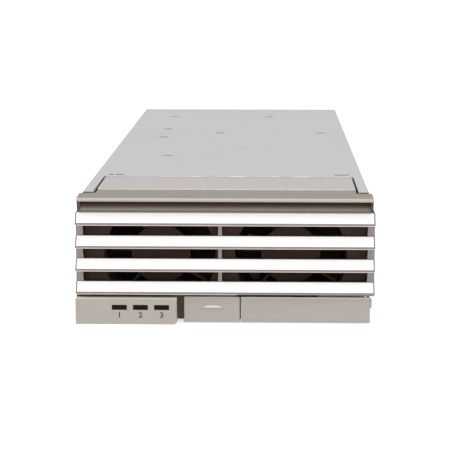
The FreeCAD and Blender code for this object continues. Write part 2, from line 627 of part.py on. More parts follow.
def front_bezel():
    """Front moulding: lip, cove, louvre blades, posts, sill, indicator panel and fan plate."""
    body = new_body("front_bezel")
    lip_front = f"({FRONT}-lip_reach)"
    plate_front = f"({FRONT}-back_plate)"
    cove_floor = f"({FRONT}-cove_reach)"
    cove_low = f"({TOP}-blade_first)"
    lip_under = f"({TOP}-lip_drop-lip_edge)"
    land_top = f"({TOP}-tongue_drop-land_drop)"
    blade_top = f"({FRONT}-blade_reach)"
    inner = f"({BEZEL_HALF}-post_width)"

    # Plate behind the louvre, with a round opening for each fan
    pad(body, XZ, plate_front, FRONT, [rect(f"-{inner}", inner, SILL_BASE, lip_under)])
    openings = [circle(signed(side, FAN_OFFSET), FAN_Z, f"{FAN_BORE}/2") for side in SIDES]
    cut(body, XZ, plate_front, FRONT, openings)
    cut(body, XZ, plate_front, FRONT, [circle(x, z, "fan_hole/2-stem_fit") for x, z in fan_screw_places()])

    # Lip and cove
    section = [
        (FRONT, land_top, None),
        (f"{FRONT}-lip_gap", land_top, None),
        (f"{FRONT}-lip_gap", f"{TOP}-lip_rear", None),
        (lip_front, f"{TOP}-lip_drop", "lip_edge/4"),
        (lip_front, lip_under, "lip_edge/4"),
        (f"{lip_front}+cove_wall", lip_under, None),
        (cove_floor, f"{lip_under}-cove_wall/3", "cove_wall"),
        (f"{cove_floor}-cove_wall/2", f"{cove_low}+cove_wall/2", "cove_wall"),
        (blade_top, cove_low, None),
        (f"{cove_floor}+cove_wall", f"{cove_low}-cove_wall", None),
        (f"{cove_floor}+cove_wall", f"{lip_under}-cove_wall", None),
        (FRONT, f"{lip_under}-cove_wall", None),
    ]
    pad(body, YZ, f"-{LIP_HALF}", LIP_HALF, [section])
    cheek = [
        (f"{lip_front}+lip_edge/2", lip_under, None),
        (blade_top, cove_low, None),
        (f"{cove_floor}+cove_wall", cove_low, None),
        (f"{cove_floor}+cove_wall", lip_under, None),
    ]
    for side in SIDES:
        low, high = sorted_levels(side, f"({LIP_HALF}-cheek_wall)", LIP_HALF)
        pad(body, YZ, low, high, [cheek])

    # Land that runs back from the lip to the tongue of the cover
    land = rect(f"-{TONGUE_HALF}", TONGUE_HALF, FRONT, f"({FRONT}+land_depth)")
    pad(body, XY, f"{TOP}-tongue_drop-sheet_metal", land_top, [land])

    # Louvre blades lean forward from their top edge
    for top, end in louvre_steps():
        foot = f"({top}-blade_rise)"
        section = [
            (blade_top, top, None),
            (f"{blade_top}-blade_lean", foot, None),
            (f"{blade_top}-blade_lean+blade_wall/3", f"{foot}-blade_wall*2/3", "blade_wall/4"),
            (f"{blade_top}-blade_lean+blade_wall", f"{foot}-blade_wall*2/3", "blade_wall/4"),
            (f"{blade_top}+blade_wall", top, None),
        ]
        pad(body, YZ, f"-{BEZEL_HALF}", BEZEL_HALF, [section])

    # Posts behind the blades, each a little wider at the foot of every gap
    post_front = f"({FRONT}-post_reach)"
    for side in SIDES:
        post = [(signed(side, BEZEL_HALF), SILL_BASE, None), (signed(side, BEZEL_HALF), cove_low, None)]
        for top, end in louvre_steps():
            post.append((signed(side, inner), top, None))
            post.append((signed(side, f"{inner}-post_flare"), end, None))
        pad(body, XZ, post_front, FRONT, [post])
    web_right = []
    web_left = []
    for top, end in louvre_steps():
        for level, half in ((top, "web_width/2"), (end, "(web_width+post_flare)/2")):
            web_right.append((f"{half}-web_offset", level, None))
            web_left.append((f"-{half}-web_offset", level, None))
    pad(body, XZ, post_front, FRONT, [web_right + web_left[::-1]])

    # Sill over the moving panels
    pad(body, XY, SILL_BASE, SILL_TOP,
        [rect(f"-{BEZEL_HALF}", BEZEL_HALF, f"{FRONT}-sill_reach", FRONT)])

    # Indicator panel: a box open at the back
    box_front = f"({FRONT}-indicator_reach)"
    box_inner = f"({box_front}+moulding_wall)"
    box = [
        (f"-{BEZEL_HALF}", INDICATOR_BASE, None),
        (INDICATOR_RIGHT, INDICATOR_BASE, "indicator_corner"),
        (INDICATOR_RIGHT, INDICATOR_TOP, None),
        (f"-{BEZEL_HALF}", INDICATOR_TOP, None),
    ]
    pad(body, XZ, box_front, FRONT, [box])
    cut(body, XZ, box_inner, FRONT, [indicator_inside()])
    cut(body, XZ, box_front, box_inner, [window_outline(index, "0") for index in range(WINDOW_COUNT)])
    for low, high in ((f"-{BEZEL_HALF}", f"-{BEZEL_HALF}+moulding_wall"),
                      (f"{INDICATOR_RIGHT}-moulding_wall", INDICATOR_RIGHT)):
        pad(body, YZ, low, high, [rect(f"{FRONT}-sill_reach", FRONT, INDICATOR_TOP, SILL_BASE)])

    # Wall and rail behind latch and handle, with the slot for the stem of the latch
    wall_end = f"({PIVOT_X}-hinge_setback-moulding_wall)"
    rail_top = "(panel_base+ear_thick)"
    pad(body, XZ, RECESS_FACE, RECESS_REAR, [rect(INDICATOR_RIGHT, wall_end, "panel_base", SILL_BASE)])
    pad(body, XY, "panel_base", rail_top, [rect(INDICATOR_RIGHT, wall_end, RECESS_REAR, FRONT)])
    slot = rect(f"{STEM_LEFT}-latch_travel-stem_fit", f"{STEM_RIGHT}+stem_fit",
                f"{STEM_BASE}-stem_fit", f"{STEM_TOP}+stem_fit")
    cut(body, XZ, RECESS_FACE, RECESS_REAR, [slot])
    pad(body, XZ, f"{RECESS_FACE}-spring_depth", RECESS_FACE,
        [rect(SPRING_LEFT + "-anchor_width", SPRING_LEFT, SPRING_BASE, SPRING_TOP)])

    # Ear under the hinge pin, and the pin's holes
    root = f"({FRONT}-back_plate)"
    ear = [rect(f"{PIVOT_X}-ear_root/2", f"{PIVOT_X}+ear_root/2", PIVOT_Y, FRONT)]
    pad(body, XY, "panel_base", rail_top, ear)
    pad(body, XY, "panel_base", rail_top, [circle(PIVOT_X, PIVOT_Y, "knuckle_radius")])
    pad(body, XY, "panel_base", rail_top, [rect(wall_end, f"{PIVOT_X}+ear_root/2", root, FRONT)])
    cut(body, XY, "panel_base", SILL_TOP, [circle(PIVOT_X, PIVOT_Y, "pin_diameter/2")])

    # Side tabs that go inside the tray, with holes for their screws
    for side in SIDES:
        low, high = sorted_levels(side, f"({INSIDE_HALF}-moulding_wall)", INSIDE_HALF)
        tab = rect(plate_front, f"{FRONT}+tab_length", "tab_base", "tab_base+tab_height")
        pad(body, YZ, low, high, [tab])
        y, z = side_screws()[0]
        cut(body, YZ, low, high, [circle(y, z, "screw_diameter/2")])
    return body


def indicator_inside():
    """Outline of the room inside the indicator panel."""
    return rect(f"-{BEZEL_HALF}+moulding_wall", f"{INDICATOR_RIGHT}-moulding_wall",
                f"{INDICATOR_BASE}+moulding_wall", f"{INDICATOR_TOP}-moulding_wall")


def window_outline(index, rim):
    """Outline of one indicator window, widened by a rim."""
    middle = f"(-{BEZEL_HALF}+window_inset+{index}*window_pitch)"
    return rect(f"{middle}-window_width/2-{rim}", f"{middle}+window_width/2+{rim}",
                f"window_level-window_height/2-{rim}", f"window_level+window_height/2+{rim}")


# The guide stem of the latch and its spring, behind the latch's front wall
STEM_RIGHT = f"({LATCH_RIGHT}-stem_inset)"
STEM_LEFT = f"({STEM_RIGHT}-stem_width)"
STEM_BASE = "(panel_base+panel_height/2-stem_height/2)"
STEM_TOP = "(panel_base+panel_height/2+stem_height/2)"
SPRING_LEFT = f"({LATCH_LEFT}+spring_inset+anchor_width)"
SPRING_RIGHT = f"({SPRING_LEFT}+spring_width)"
SPRING_BASE = "(panel_base+panel_height/2-spring_height/2)"
SPRING_TOP = "(panel_base+panel_height/2+spring_height/2)"
PIPE_BACK = f"({FRONT}-indicator_reach+moulding_wall+pipe_depth)"
LAMP_BACK = f"({PIPE_BACK}+lamp_height)"


def indicator_windows():
    """Three smoked light pipes, each with a rim behind the wall."""
    body = new_body("indicator_windows")
    front = f"({FRONT}-indicator_reach)"
    inside = f"({front}+moulding_wall)"
    pad(body, XZ, front, inside, [window_outline(index, "0") for index in range(WINDOW_COUNT)])
    pad(body, XZ, inside, PIPE_BACK, [window_outline(index, "pipe_flange") for index in range(WINDOW_COUNT)])
    return body


def indicator_lamps():
    """Surface-mounted lamps, one behind each window."""
    body = new_body("indicator_lamps")
    lamps = [window_outline(index, "(-window_height/6)") for index in range(WINDOW_COUNT)]
    pad(body, XZ, PIPE_BACK, LAMP_BACK, lamps)
    return body


def indicator_board():
    """Small board behind the windows, held between the walls of the indicator panel."""
    body = new_body("indicator_board")
    pad(body, XZ, LAMP_BACK, f"{LAMP_BACK}+lamp_board", [indicator_inside()])
    return body


def latch_slider():
    """Thumb latch: a cap with a ridge, a stem through the wall behind it and a foot."""
    body = new_body("latch_slider")
    face_back = f"({PANEL_FRONT}+panel_face)"
    outline = rect(LATCH_LEFT, LATCH_RIGHT, "panel_base", PANEL_TOP)
    hollow = rect(f"{LATCH_LEFT}+moulding_wall", f"{LATCH_RIGHT}-moulding_wall",
                  "panel_base+moulding_wall", f"{PANEL_TOP}-moulding_wall")
    pad(body, XZ, PANEL_FRONT, PANEL_BACK, [outline])
    cut(body, XZ, face_back, PANEL_BACK, [hollow])
    middle = f"({LATCH_LEFT}+ridge_inset)"
    ridge_top = "(ridge_level+ridge_height/2)"
    ridge_low = "(ridge_level-ridge_height/2)"
    ridge = [
        (f"{middle}-ridge_width/2", ridge_low, None),
        (f"{middle}+ridge_width/2", ridge_low, None),
        (f"{middle}+ridge_width/4", ridge_top, "ridge_width/2"),
        (f"{middle}-ridge_width/4", ridge_top, "ridge_width/2"),
    ]
    pad(body, XZ, f"{PANEL_FRONT}-ridge_rise", PANEL_FRONT, [ridge])
    foot_front = f"({RECESS_REAR}+stem_fit)"
    stem = rect(STEM_LEFT, STEM_RIGHT, STEM_BASE, STEM_TOP)
    pad(body, XZ, face_back, foot_front, [stem])
    foot = rect(STEM_LEFT, STEM_RIGHT, f"{STEM_BASE}-foot_overlap", f"{STEM_TOP}+foot_overlap")
    pad(body, XZ, foot_front, f"{foot_front}+foot_thick", [foot])
    rib = rect(SPRING_RIGHT, f"{SPRING_RIGHT}+anchor_width", SPRING_BASE, SPRING_TOP)
    pad(body, XZ, face_back, PANEL_BACK, [rib])
    return body


def latch_spring():
    """Leaf spring bent to a V, from its anchor post to the rib of the latch."""
    body = new_body("latch_spring")
    near = f"({RECESS_FACE}-running_gap-spring_leaf)"
    far = f"({RECESS_FACE}-running_gap-spring_depth)"
    middle = f"({SPRING_LEFT}+spring_width/2)"
    outline = [
        (SPRING_LEFT, near, None),
        (middle, f"{far}+spring_leaf", None),
        (SPRING_RIGHT, near, None),
        (SPRING_RIGHT, f"{near}-spring_leaf", None),
        (middle, far, None),
        (SPRING_LEFT, f"{near}-spring_leaf", None),
    ]
    pad(body, XY, SPRING_BASE, SPRING_TOP, [outline])
    return body


def ejector_handle():
    """Channel-shaped handle that turns on the hinge pin and pries with the cam at its end."""
    body = new_body("ejector_handle")
    face_back = f"({PANEL_FRONT}+panel_face)"
    arm_end = f"({PIVOT_X}-hinge_room-running_gap)"
    end_back = f"({PIVOT_Y}-hinge_setback/4)"
    room_front = f"({PIVOT_Y}-hinge_room)"
    pad(body, XY, "panel_base", PANEL_TOP, [rect(HANDLE_LEFT, HANDLE_RIGHT, PANEL_FRONT, room_front)])
    end_wall = rect(f"{HANDLE_RIGHT}-moulding_wall", HANDLE_RIGHT, PANEL_FRONT, end_back)
    pad(body, XY, "panel_base", PANEL_TOP, [end_wall])
    pad(body, XY, "panel_base", PANEL_TOP, [rect(HANDLE_LEFT, arm_end, PANEL_FRONT, PANEL_BACK)])
    hollow = rect(f"{HANDLE_LEFT}+moulding_wall", arm_end,
                  "panel_base+moulding_wall", f"{PANEL_TOP}-moulding_wall")
    cut(body, XZ, face_back, PANEL_BACK, [hollow])
    knuckle_base = "(panel_base+ear_thick+running_gap)"
    arm = rect(f"{PIVOT_X}-knuckle_radius", f"{PIVOT_X}+knuckle_radius*2/3",
               f"{room_front}-running_gap", PIVOT_Y)
    pad(body, XY, knuckle_base, PANEL_TOP, [arm])
    pad(body, XY, knuckle_base, PANEL_TOP, [circle(PIVOT_X, PIVOT_Y, "knuckle_radius")])
    cam_front = f"({PANEL_FRONT}+cam_setback)"
    cam_top = f"({PANEL_TOP}-cam_drop)"
    cam = rect(f"{HANDLE_RIGHT}-moulding_wall/2", f"{HANDLE_RIGHT}+cam_reach",
               cam_front, f"{cam_front}+cam_length", "cam_reach/2")
    pad(body, XY, f"{cam_top}-cam_height", cam_top, [cam])
    cut(body, XY, knuckle_base, PANEL_TOP, [circle(PIVOT_X, PIVOT_Y, "pin_diameter/2+pin_fit")])
    return body


def handle_pin():
    """Steel hinge pin of the handle, from the ear up to the sill."""
    body = new_body("handle_pin")
    pad(body, XY, "panel_base", SILL_TOP, [circle(PIVOT_X, PIVOT_Y, "pin_diameter/2")])
    return body


def fan_axis(side):
    """Expression for the axis of the left or right fan."""
    return signed(side, FAN_OFFSET)


def fan_frame(side, name):
    """Square fan frame: two flanges, a tube between, struts and the motor mount at the rear."""
    body = new_body(f"fan_frame_{name}")
    axis = fan_axis(side)
    half = f"{FAN_SIZE}/2"
    bore = f"{FAN_BORE}/2"
    square = rect(f"{axis}-{half}", f"{axis}+{half}", f"{FAN_Z}-{half}", f"{FAN_Z}+{half}", "fan_flange/2")
    pad(body, XZ, FRONT, f"{FRONT}+fan_flange", [square])
    pad(body, XZ, f"{FRONT}+fan_flange", f"{FAN_REAR}-fan_flange", [circle(axis, FAN_Z, f"{bore}+fan_wall")])
    pad(body, XZ, f"{FAN_REAR}-fan_flange", FAN_REAR, [square])
    cut(body, XZ, FRONT, FAN_REAR, [circle(axis, FAN_Z, bore)])
    holes = [circle(f"{axis}+{right}*{FAN_HOLE_STEP}", f"{FAN_Z}+{up}*{FAN_HOLE_STEP}", "fan_hole/2")
             for right in SIDES for up in SIDES]
    cut(body, XZ, FRONT, FAN_REAR, holes)
    mount = f"({FAN_REAR}-mount_disc)"
    arm = f"({bore}+fan_wall/2)"
    upright = rect(f"{axis}-strut_width/2", f"{axis}+strut_width/2", f"{FAN_Z}-{arm}", f"{FAN_Z}+{arm}")
    across = rect(f"{axis}-{arm}", f"{axis}+{arm}", f"{FAN_Z}-strut_width/2", f"{FAN_Z}+strut_width/2")
    pad(body, XZ, mount, FAN_REAR, [upright])
    pad(body, XZ, mount, FAN_REAR, [across])
    pad(body, XZ, mount, FAN_REAR, [circle(axis, FAN_Z, "hub_diameter/2")])
    tube = circle(axis, FAN_Z, "bearing_diameter/2+bearing_tube")
    pad(body, XZ, f"{mount}-bearing_length", mount, [tube])
    cut(body, XZ, f"{mount}-bearing_length", FAN_REAR, [circle(axis, FAN_Z, "bearing_diameter/2")])
    return body


def fan_bearing(side, name):
    """Sintered sleeve bearing in the tube of the fan frame."""
    body = new_body(f"fan_bearing_{name}")
    mount = f"({FAN_REAR}-mount_disc)"
    sleeve = circle(fan_axis(side), FAN_Z, "bearing_diameter/2")
    bore = circle(fan_axis(side), FAN_Z, "shaft_diameter/2+shaft_fit")
    pad(body, XZ, f"{mount}-bearing_length", mount, [sleeve, bore])
    return body


def fan_stator(side, name):
    """Four-pole stator on the bearing tube, inside the hub."""
    body = new_body(f"fan_stator_{name}")
    axis = fan_axis(side)
    rear = f"({FAN_REAR}-mount_disc)"
    inner = circle(axis, FAN_Z, "bearing_diameter/2+bearing_tube+shaft_fit")
    outer = circle(axis, FAN_Z, "stator_diameter/2")
    pad(body, XZ, f"{rear}-stator_length", rear, [outer, inner])
    slot = "stator_diameter/8"
    arm = "stator_diameter/3"
    slots = [circle(f"{axis}+{right}*{arm}", f"{FAN_Z}+{up}*{arm}", slot) for right in SIDES for up in SIDES]
    cut(body, XZ, f"{rear}-stator_length", rear, slots)
    return body


def impeller_section(radius, sweep):
    """Cambered blade section on the plane at one radius: sweep is its width round the axis."""
    start = number("hub_setback+impeller_wall")
    end = number("hub_setback+hub_length-impeller_wall")
    wall = number("impeller_wall")
    camber = sweep / CAMBER_SHARE

    def point(along, across):
        return FreeCAD.Vector(across, along, radius)

    middle = (start + end) / 2
    front = Part.Arc(point(start, sweep / 2), point(middle, camber), point(end, -sweep / 2)).toShape()
    rear = Part.Arc(point(end, -sweep / 2 - wall), point(middle, camber - wall),
                    point(start, sweep / 2 - wall)).toShape()
    tail = Part.makeLine(point(end, -sweep / 2), point(end, -sweep / 2 - wall))
    nose = Part.makeLine(point(start, sweep / 2 - wall), point(start, sweep / 2))
    return Part.Wire([front, tail, rear, nose])


def impeller_shape():
    """Hub cup, shaft and twisted blades about the Y axis, with the fan's front at Y = 0."""
    hub = number("hub_diameter/2")
    tip = number(f"{FAN_BORE}/2-blade_tip_gap")
    front = number("hub_setback")
    length = number("hub_length")
    wall = number("hub_wall")
    shaft = number("shaft_diameter/2")
    shaft_end = number("fan_depth-mount_disc") - wall
    axis = FreeCAD.Vector(0, 1, 0)
    cup = Part.makeCylinder(hub, length, FreeCAD.Vector(0, front, 0), axis)
    hollow = Part.makeCylinder(hub - wall, length - wall, FreeCAD.Vector(0, front + wall, 0), axis)
    pin = Part.makeCylinder(shaft, shaft_end - front, FreeCAD.Vector(0, front, 0), axis)
    outside = Part.makeCylinder(tip, length, FreeCAD.Vector(0, front, 0), axis)
    inside = Part.makeCylinder(hub - wall / 2, length, FreeCAD.Vector(0, front, 0), axis)
    sections = [impeller_section(hub - 2 * wall, number("root_sweep")),
                impeller_section(tip + wall, number("tip_sweep"))]
    blade = Part.makeLoft(sections, True, True).common(outside).cut(inside)
    blades = []
    for index in range(IMPELLER_BLADES):
        copy = blade.copy()
        copy.rotate(FreeCAD.Vector(0, 0, 0), axis, index * 360 / IMPELLER_BLADES)
        blades.append(copy)
    return cup.cut(hollow).fuse([pin] + blades).removeSplitter()


def fan_rotor(side, name):
    """Impeller of one fan."""
    rotor = doc.addObject("Part::Feature", f"fan_rotor_{name}")
    rotor.Label = f"fan_rotor_{name}"
    rotor.Shape = impeller_shape()
    rotor.Placement.Base = FreeCAD.Vector(number(fan_axis(side)), number(FRONT), number(FAN_Z))
    nodes.append(rotor)
    return rotor


def fan_screw_places():
    """Upper screw holes of both fans, which meet the plate of the front moulding."""
    return [(f"({fan_axis(side)}+{right}*{FAN_HOLE_STEP})", f"({FAN_Z}+{FAN_HOLE_STEP})")
            for side in SIDES for right in SIDES]


def fan_screws():
    """Screws through the fan frames into the plate of the front moulding."""
    body = new_body("fan_screws")
    shanks = [circle(x, z, "fan_hole/2-stem_fit") for x, z in fan_screw_places()]
    heads = [circle(x, z, "fan_hole/2+screw_head_height") for x, z in fan_screw_places()]
    pad(body, XZ, f"{FRONT}-back_plate", FAN_REAR, shanks)
    pad(body, XZ, FAN_REAR, f"{FAN_REAR}+2*screw_head_height", heads)
    return body


def standoff_places():
    """Six standoffs: two edges of the board, at its front, middle and rear."""
    along = [f"({BOARD_FRONT}+standoff_edge)", f"({BOARD_FRONT}+standoff_middle)",
             f"({BOARD_REAR}-standoff_edge)"]
    return [(signed(side, f"{BOARD_HALF}-standoff_edge"), y) for side in SIDES for y in along]


def board_standoffs():
    """Tapped standoffs on the tray floor."""
    body = new_body("board_standoffs")
    for x, y in standoff_places():
        pad(body, XY, "sheet_metal", BOARD_BASE,
            [circle(x, y, "standoff_diameter/2"), circle(x, y, "board_screw/2")])
    return body


def board_screws():
    """Screws through the main board into the standoffs."""
    body = new_body("board_screws")
    head_top = f"({BOARD_TOP}+board_screw_height)"
    pad(body, XY, "sheet_metal", BOARD_TOP, [circle(x, y, "board_screw/2") for x, y in standoff_places()])
    pad(body, XY, BOARD_TOP, head_top, [circle(x, y, "board_screw_head/2") for x, y in standoff_places()])
    return body


def insulator_sheet():
    """Insulating sheet on the tray floor, between the two lines of standoffs."""
    body = new_body("insulator_sheet")
    half = f"({BOARD_HALF}-standoff_edge-standoff_diameter/2-insulator_gap)"
    pad(body, XY, "sheet_metal", "sheet_metal+insulator", [rect(f"-{half}", half, BOARD_FRONT, BOARD_REAR)])
    return body


def main_board():
    """Main circuit board on its standoffs."""
    body = new_body("main_board")
    outline = rect(f"-{BOARD_HALF}", BOARD_HALF, BOARD_FRONT, BOARD_REAR)
    pad(body, XY, BOARD_BASE, BOARD_TOP, [outline])
    cut(body, XY, BOARD_BASE, BOARD_TOP, [circle(x, y, "board_screw/2") for x, y in standoff_places()])
    return body


def row_starts(lengths):
    """Front of each part in a row along the board, one gap apart."""
    starts = []
    place = f"({BOARD_FRONT}+2*standoff_edge)"
    for length in lengths:
        starts.append(place)
        place = f"({place}+{length}+part_gap)"
    return starts


# The side rows lie between the fins of the middle heat sink and the edges of the board
ROW_INNER = "(sink_base/2+sink_reach+part_gap)"
ROW_WIDTH = f"({BOARD_HALF}-lane_margin-{ROW_INNER})"
RIGHT = f"({ROW_INNER}+{ROW_WIDTH}/2)"
LEFT = f"(-{RIGHT})"


def within_row(margin):
    """Width of a part that keeps a margin from both sides of its row."""
    return f"({ROW_WIDTH}-2*{margin})"


BULK_WIDTH = within_row("bulk_margin")
INPUT_CHOKE = within_row("input_choke_margin")
FUSE_LENGTH = within_row("fuse_margin")
BOOST_WIDTH = within_row("boost_margin")
CORE_WIDTH = within_row("core_margin")
CORE_MIDDLE = f"({CORE_WIDTH}-2*core_leg-2*winding_room)"
SECONDARY_WIDTH = within_row("secondary_margin")
OUTPUT_CHOKE_WIDTH = within_row("output_choke_margin")
CAN_PITCH = f"({ROW_WIDTH}/{CANS_ACROSS})"

PACKAGE_PITCH = f"((primary_length-2*part_gap-package_width)/{TRANSISTORS})"
(BULK_ONE, BULK_TWO, CHOKE_ONE, FILM_ONE, CHOKE_TWO, FILM_TWO, RELAY, FUSE) = row_starts(
    ["bulk_length", "bulk_length", INPUT_CHOKE, "film_length", INPUT_CHOKE,
     "film_length", "relay_length", "fuse_diameter"])
(BOOST, CORE, RESONANT, SECONDARY, OUTPUT_CHOKE, CANS, BUS) = row_starts(
    [BOOST_WIDTH, "core_length", "resonant_length", "secondary_length", OUTPUT_CHOKE_WIDTH,
     f"2*{CAN_PITCH}", "bus_width"])
PRIMARY = f"({BOARD_FRONT}+primary_setback)"
CONTROL = f"({PRIMARY}+primary_length+part_gap)"
AUXILIARY = f"({CONTROL}+control_length+part_gap)"


def bulk_capacitors():
    """Two bulk capacitors lying along the board."""
    body = new_body("bulk_capacitors")
    for start in (BULK_ONE, BULK_TWO):
        ring = circle(LEFT, f"({BOARD_TOP}+{BULK_WIDTH}/2)", f"{BULK_WIDTH}/2")
        pad(body, XZ, start, f"({start}+bulk_length)", [ring])
    return body


def wound_ring(label, middles, outer, section, height):
    """Ring-core coils lying flat on the board."""
    body = new_body(label)
    for x, y in middles:
        ring = [circle(x, y, f"{outer}/2"), circle(x, y, f"{outer}/2-{section}")]
        pad(body, XY, BOARD_TOP, f"({BOARD_TOP}+{height})", ring)
    return body


def block_parts(label, starts, middle, length, width, height):
    """Box-shaped parts with rounded upright edges, one at each start."""
    body = new_body(label)
    for start in starts:
        end = f"({start}+{length})"
        outline = rect(f"{middle}-{width}/2", f"{middle}+{width}/2", start, end, "part_gap/3")
        pad(body, XY, BOARD_TOP, f"({BOARD_TOP}+{height})", [outline])
    return body


def input_fuse():
    """Cartridge fuse across the board, with a metal cap at each end."""
    body = new_body("input_fuse")
    level = f"({BOARD_TOP}+fuse_diameter/2)"
    middle = f"({FUSE}+fuse_diameter/2)"
    end = f"({LEFT}+{FUSE_LENGTH}/2)"
    start = f"({LEFT}-{FUSE_LENGTH}/2)"
    pad(body, YZ, start, end, [circle(middle, level, "fuse_glass/2")])
    pad(body, YZ, start, f"({start}+fuse_cap)", [circle(middle, level, "fuse_diameter/2")])
    pad(body, YZ, f"({end}-fuse_cap)", end, [circle(middle, level, "fuse_diameter/2")])
    return body


def transformer_core():
    """E-shaped ferrite halves, seen as a frame round a middle leg."""
    body = new_body("transformer_core")
    top = f"({BOARD_TOP}+core_height)"
    outline = rect(f"{RIGHT}-{CORE_WIDTH}/2", f"{RIGHT}+{CORE_WIDTH}/2", BOARD_TOP, top)
    end = f"({CORE}+core_length)"
    pad(body, XZ, CORE, end, [outline])
    for side in SIDES:
        near = f"({RIGHT}+{side}*{CORE_MIDDLE}/2)"
        far = f"({RIGHT}+{side}*({CORE_WIDTH}/2-core_leg))"
        window = rect(near, far, f"({CORE}+core_leg)", f"({end}-core_leg)")
        cut(body, XY, BOARD_TOP, top, [window])
    return body


def transformer_winding():
    """Winding round the middle leg of the transformer core."""
    body = new_body("transformer_winding")
    half = f"({CORE_WIDTH}/2-core_leg-winding_clearance)"
    start = f"({CORE}+core_leg)"
    end = f"({CORE}+core_length-core_leg)"
    ring = rect(f"{RIGHT}-{half}", f"{RIGHT}+{half}", start, end)
    hole = rect(f"{RIGHT}-{CORE_MIDDLE}/2", f"{RIGHT}+{CORE_MIDDLE}/2", start, end)
    body_top = f"({BOARD_TOP}+core_height)"
    pad(body, XY, BOARD_TOP, body_top, [ring])
    cut(body, XY, BOARD_TOP, body_top, [hole])
    return body


def heat_sink_primary():
    """Upright extruded heat sink with fins on its left side."""
    body = new_body("primary_heat_sink")
    end = f"({PRIMARY}+primary_length)"
    top = f"({BOARD_TOP}+primary_height)"
    pad(body, XZ, PRIMARY, end, [rect("-sink_base/2", "sink_base/2", BOARD_TOP, top)])
    count = int(number("primary_height") / number("sink_pitch"))
    for index in range(count):
        base = f"({top}-{index}*sink_pitch-sink_fin)"
        fin = rect("-sink_base/2-sink_reach", "-sink_base/2", base, f"({base}+sink_fin)")
        pad(body, XZ, PRIMARY, end, [fin])
    return body


def heat_sink_secondary():
    """Comb-shaped heat sink for the output rectifiers, fins upward."""
    body = new_body("output_heat_sink")
    end = f"({SECONDARY}+secondary_length)"
    base_top = f"({BOARD_TOP}+sink_base)"
    left = f"({RIGHT}-{SECONDARY_WIDTH}/2)"
    pad(body, XZ, SECONDARY, end, [rect(left, f"({left}+{SECONDARY_WIDTH})", BOARD_TOP, base_top)])
    count = int((number(SECONDARY_WIDTH) - number("sink_fin")) / number("sink_pitch")) + 1
    for index in range(count):
        start = f"({left}+{index}*sink_pitch)"
        fin = rect(start, f"({start}+sink_fin)", base_top, f"({BOARD_TOP}+secondary_height)")
        pad(body, XZ, SECONDARY, end, [fin])
    return body


def power_package(body, place):
    """One upright power package on the right face of the primary heat sink, with three leads."""
    face = "sink_base/2"
    base = f"({BOARD_TOP}+package_lift)"
    start = f"({PRIMARY}+part_gap+{place}*{PACKAGE_PITCH})"
    outline = rect(start, f"({start}+package_width)", base, f"({base}+package_height)")
    pad(body, YZ, face, f"{face}+package_thick", [outline])
    for lead in (1, 2, 3):
        middle = f"({start}+{lead}*package_width/4)"
        leg = rect(f"{middle}-lead_width/2", f"{middle}+lead_width/2", BOARD_TOP, base)
        pad(body, YZ, f"{face}+package_thick/2", f"{face}+package_thick/2+lead_thick", [leg])


def power_transistors():
    """Switching transistors on the primary heat sink."""
    body = new_body("power_transistors")
    for place in range(TRANSISTORS):
        power_package(body, place)
    return body


def bridge_rectifier():
    """Bridge rectifier at the rear end of the primary heat sink."""
    body = new_body("bridge_rectifier")
    power_package(body, TRANSISTORS)
    return body


def output_capacitors():
    """Upright capacitors at the output, in two rows."""
    body = new_body("output_capacitors")
    for row in range(2):
        for column in (-1, 0, 1):
            x = f"({RIGHT}+{column}*{CAN_PITCH})"
            y = f"({CANS}+{CAN_PITCH}/2+{row}*{CAN_PITCH})"
            can = circle(x, y, f"({CAN_PITCH}-can_gap)/2")
            pad(body, XY, BOARD_TOP, f"({BOARD_TOP}+output_can_height)", [can])
    return body


def control_board():
    """Upright control board in the middle of the main board."""
    body = new_body("control_board")
    card = rect(CONTROL, f"({CONTROL}+control_length)", BOARD_TOP, f"({BOARD_TOP}+control_height)")
    pad(body, YZ, "-control_thick/2", "control_thick/2", [card])
    return body


def output_bus_bars():
    """Two copper bars on the board, from the output capacitors to the rear plug."""
    body = new_body("output_bus_bars")
    for side in SIDES:
        x = f"({RIGHT}+{side}*(bus_width+bus_gap)/2)"
        bar = rect(f"{x}-bus_width/2", f"{x}+bus_width/2", BUS, PLUG_FRONT)
        pad(body, XY, BOARD_TOP, f"({BOARD_TOP}+bus_thick)", [bar])
    return body


def cavity_middles():
    """Middles of the blade cavities: one group left and one right of the signal pins."""
    return [signed(side, f"{step}*{CAVITY_PITCH}+signal_pitch")
            for side in SIDES for step in range(1, CAVITIES_A_SIDE + 1)]


def rear_plug():
    """Plug moulding on the board, through the rear wall, with cavities for the blades."""
    body = new_body("rear_plug")
    half = PLUG_HALF
    level = f"({BOARD_TOP}+plug_height/2)"
    block = rect(f"-{half}", half, BOARD_TOP, f"({BOARD_TOP}+plug_height)")
    pad(body, XZ, PLUG_FRONT, PLUG_REAR, [block])
    for side in SIDES:
        ear = rect(signed(side, half), signed(side, f"{half}+plug_ear"),
                   PLUG_FRONT, f"({PLUG_FRONT}+plug_ear_length)")
        pad(body, XY, BOARD_TOP, f"({BOARD_TOP}+plug_ear_height)", [ear])
    cavities = [rect(f"{x}-cavity_width/2", f"{x}+cavity_width/2", f"{level}-cavity_height/2",
                     f"{level}+cavity_height/2") for x in cavity_middles()]
    cavities.append(rect("-signal_pitch*2", "signal_pitch*2", f"{level}-cavity_height/2",
                         f"{level}+cavity_height/2"))
    cut(body, XZ, f"({PLUG_REAR}-cavity_depth)", PLUG_REAR, cavities)
    cut(body, XZ, PLUG_FRONT, f"({PLUG_REAR}-cavity_depth)", blade_outlines() + pin_outlines())
    cut(body, XY, BOARD_TOP, f"({BOARD_TOP}+plug_ear_height)",
        [circle(x, y, "board_screw/2") for x, y in ear_places()])
    return body


